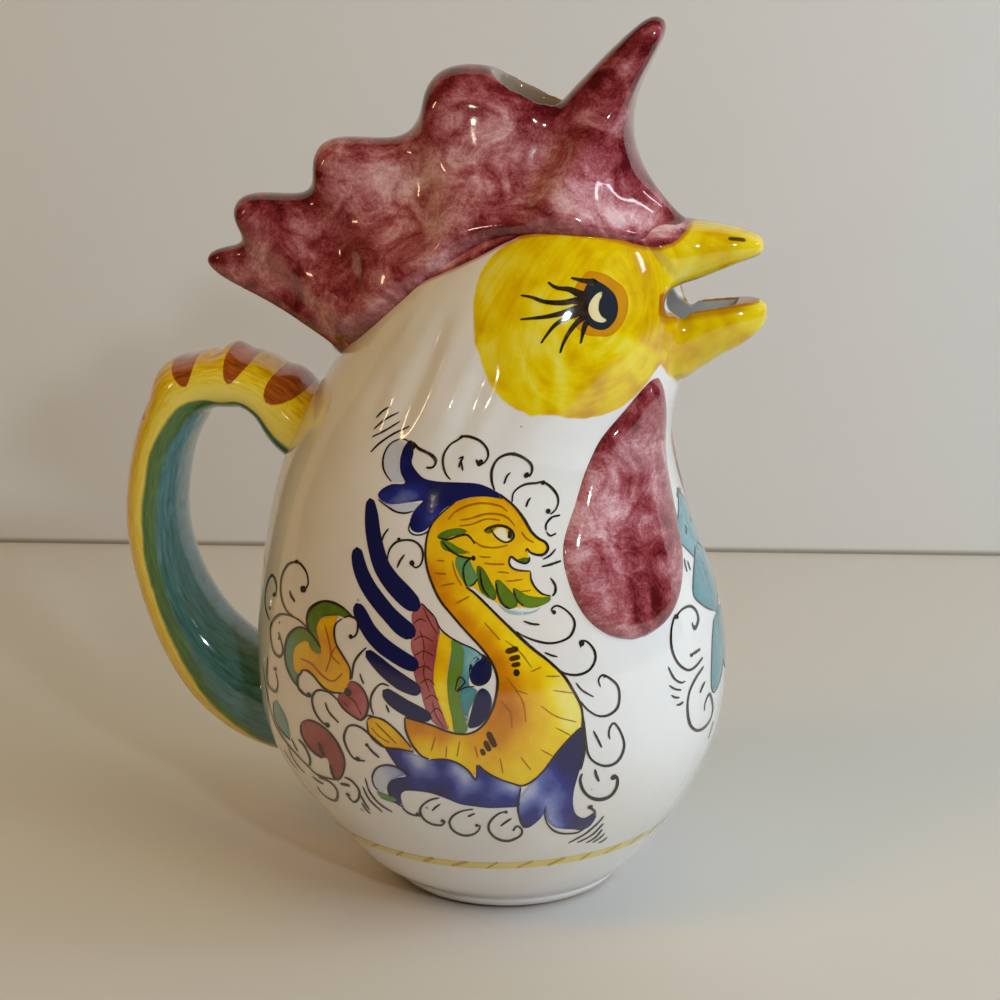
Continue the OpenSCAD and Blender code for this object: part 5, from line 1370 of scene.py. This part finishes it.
def stageMaterial(name, colour, oneSided):  # seen from behind, a one-sided wall isn't there
    material = bpy.data.materials.new(name)
    material.use_nodes = True
    tree = material.node_tree
    shader = tree.nodes["Principled BSDF"]
    shader.inputs["Roughness"].default_value = 0.5
    place = add(tree, "TexCoord").outputs["Object"]
    plain = mix(tree, noise(tree, place, 5, 4), colour, tuple(c * 0.94 for c in colour[:3]) + (1,))
    if oneSided:  # a darker line along the wall's foot, a painted shade where the wall meets the floor
        wallFootShade = smoothStep(tree, add(tree, "SeparateXYZ", {0: place}).outputs[2], 0.0004, 0.0028)
        plain = mix(tree, wallFootShade, studio["wallFootShade"], plain)
    tree.links.new(plain, shader.inputs["Base Color"])
    if oneSided:
        clear = add(tree, "BsdfTransparent")
        behind = add(tree, "NewGeometry").outputs["Backfacing"]
        both = add(tree, "MixShader", {0: behind, 1: shader.outputs[0], 2: clear.outputs[0]})
        tree.links.new(both.outputs[0], tree.nodes["Material Output"].inputs["Surface"])
    return material

def makeStage():
    bm = bmesh.new()
    bmesh.ops.create_grid(bm, x_segments=2, y_segments=2, size=studio["floorHalf"])
    floor = toObject(bm, "paleFloor", stageMaterial("floorPaint", studio["floor"], False))
    right, _, ahead = cameraAxes()
    flatAhead = Vector((ahead.x, ahead.y, 0)).normalized()
    centre = Vector(camera["place"]) + flatAhead * studio["wallAt"]
    along = Matrix.Rotation(math.radians(-studio["wallTurn"]), 3, "Z") @ right
    bm = bmesh.new()
    bmesh.ops.create_grid(bm, x_segments=2, y_segments=2, size=1)
    for v in bm.verts:
        up = (v.co.y + 1) / 2 * studio["wallHigh"]
        v.co = Vector((centre.x, centre.y, 0)) + along * (v.co.x * studio["wallHalf"]) + Vector((0, 0, up))
    bmesh.ops.recalc_face_normals(bm, faces=bm.faces)
    bm.normal_update()
    if sum((f.normal for f in bm.faces), Vector()).dot(flatAhead) > 0:
        bmesh.ops.reverse_faces(bm, faces=bm.faces)
    wall = toObject(bm, "paleWall", stageMaterial("wallPaint", studio["wall"], True))

makeStage()

# a lamp that isn't mirrored lights the glaze but leaves no bright pane on it
def areaLight(name, place, target, size, power, colour, mirrored=True):
    data = bpy.data.lights.new(name, "AREA")
    data.shape, data.size, data.size_y, data.energy, data.color = "RECTANGLE", size[0], size[1], power, colour
    lamp = bpy.data.objects.new(name, data)
    bpy.context.collection.objects.link(lamp)
    lamp.location, lamp.visible_glossy = Vector(place), mirrored
    lamp.rotation_euler = (Vector(target) - Vector(place)).to_track_quat("-Z", "Y").to_euler()

lamps = dict(
    window=dict(place=(1.0, -0.1, 0.6), target=(0, 0, 0.12), size=(1.0, 0.8), power=8.3,
                colour=(0.76, 0.87, 1.0), mirrored=False),
    cornerLight=dict(place=(1.0, -0.75, 0.75), target=(0, 0, 0.12), size=(0.5, 0.5), power=4,
                     colour=(0.92, 0.95, 1.0), mirrored=False),
    windowGap=dict(place=(1.5, 0.15, 0.9), target=(0, 0, 0.15), size=(0.1, 0.4), power=1.2, colour=(0.9, 0.94, 1.0)),
    frontLamp=dict(place=(0.6, -1.03, 0.7), target=(0, 0, 0.12), size=(0.07, 0.07), power=2.6, colour=(0.82, 0.95, 1.0)),
    ceiling=dict(place=(0.1, -0.2, 1.6), target=(0, 0, 0.1), size=(0.8, 0.8), power=2.2, colour=(1, 0.9, 0.12), mirrored=False),
    leftLamp=dict(place=(-0.8, -0.8, 1.3), target=(0, 0, 0.1), size=(0.6, 0.6), power=5.6,
                  colour=(1, 0.46, 0.02), mirrored=False),
    sideLamp=dict(place=(-0.85, -0.5, 0.5), target=(0, 0, 0.12), size=(0.05, 0.16), power=0.35, colour=(1, 0.7, 0.4)),
    roomLamp=dict(place=(-0.33, -1.2, 0.56), target=(0, 0, 0.12), size=(0.04, 0.04), power=0.3, colour=(1, 0.85, 0.65)))
for name, lamp in lamps.items():
    areaLight(name, **lamp)
world = bpy.data.worlds.new("studioAir")
world.use_nodes = True
air = world.node_tree.nodes["Background"]
air.inputs["Color"].default_value, air.inputs["Strength"].default_value = (1, 0.88, 0.72, 1), 0.02
bpy.context.scene.world = world
bpy.context.scene.view_settings.view_transform = "Standard"
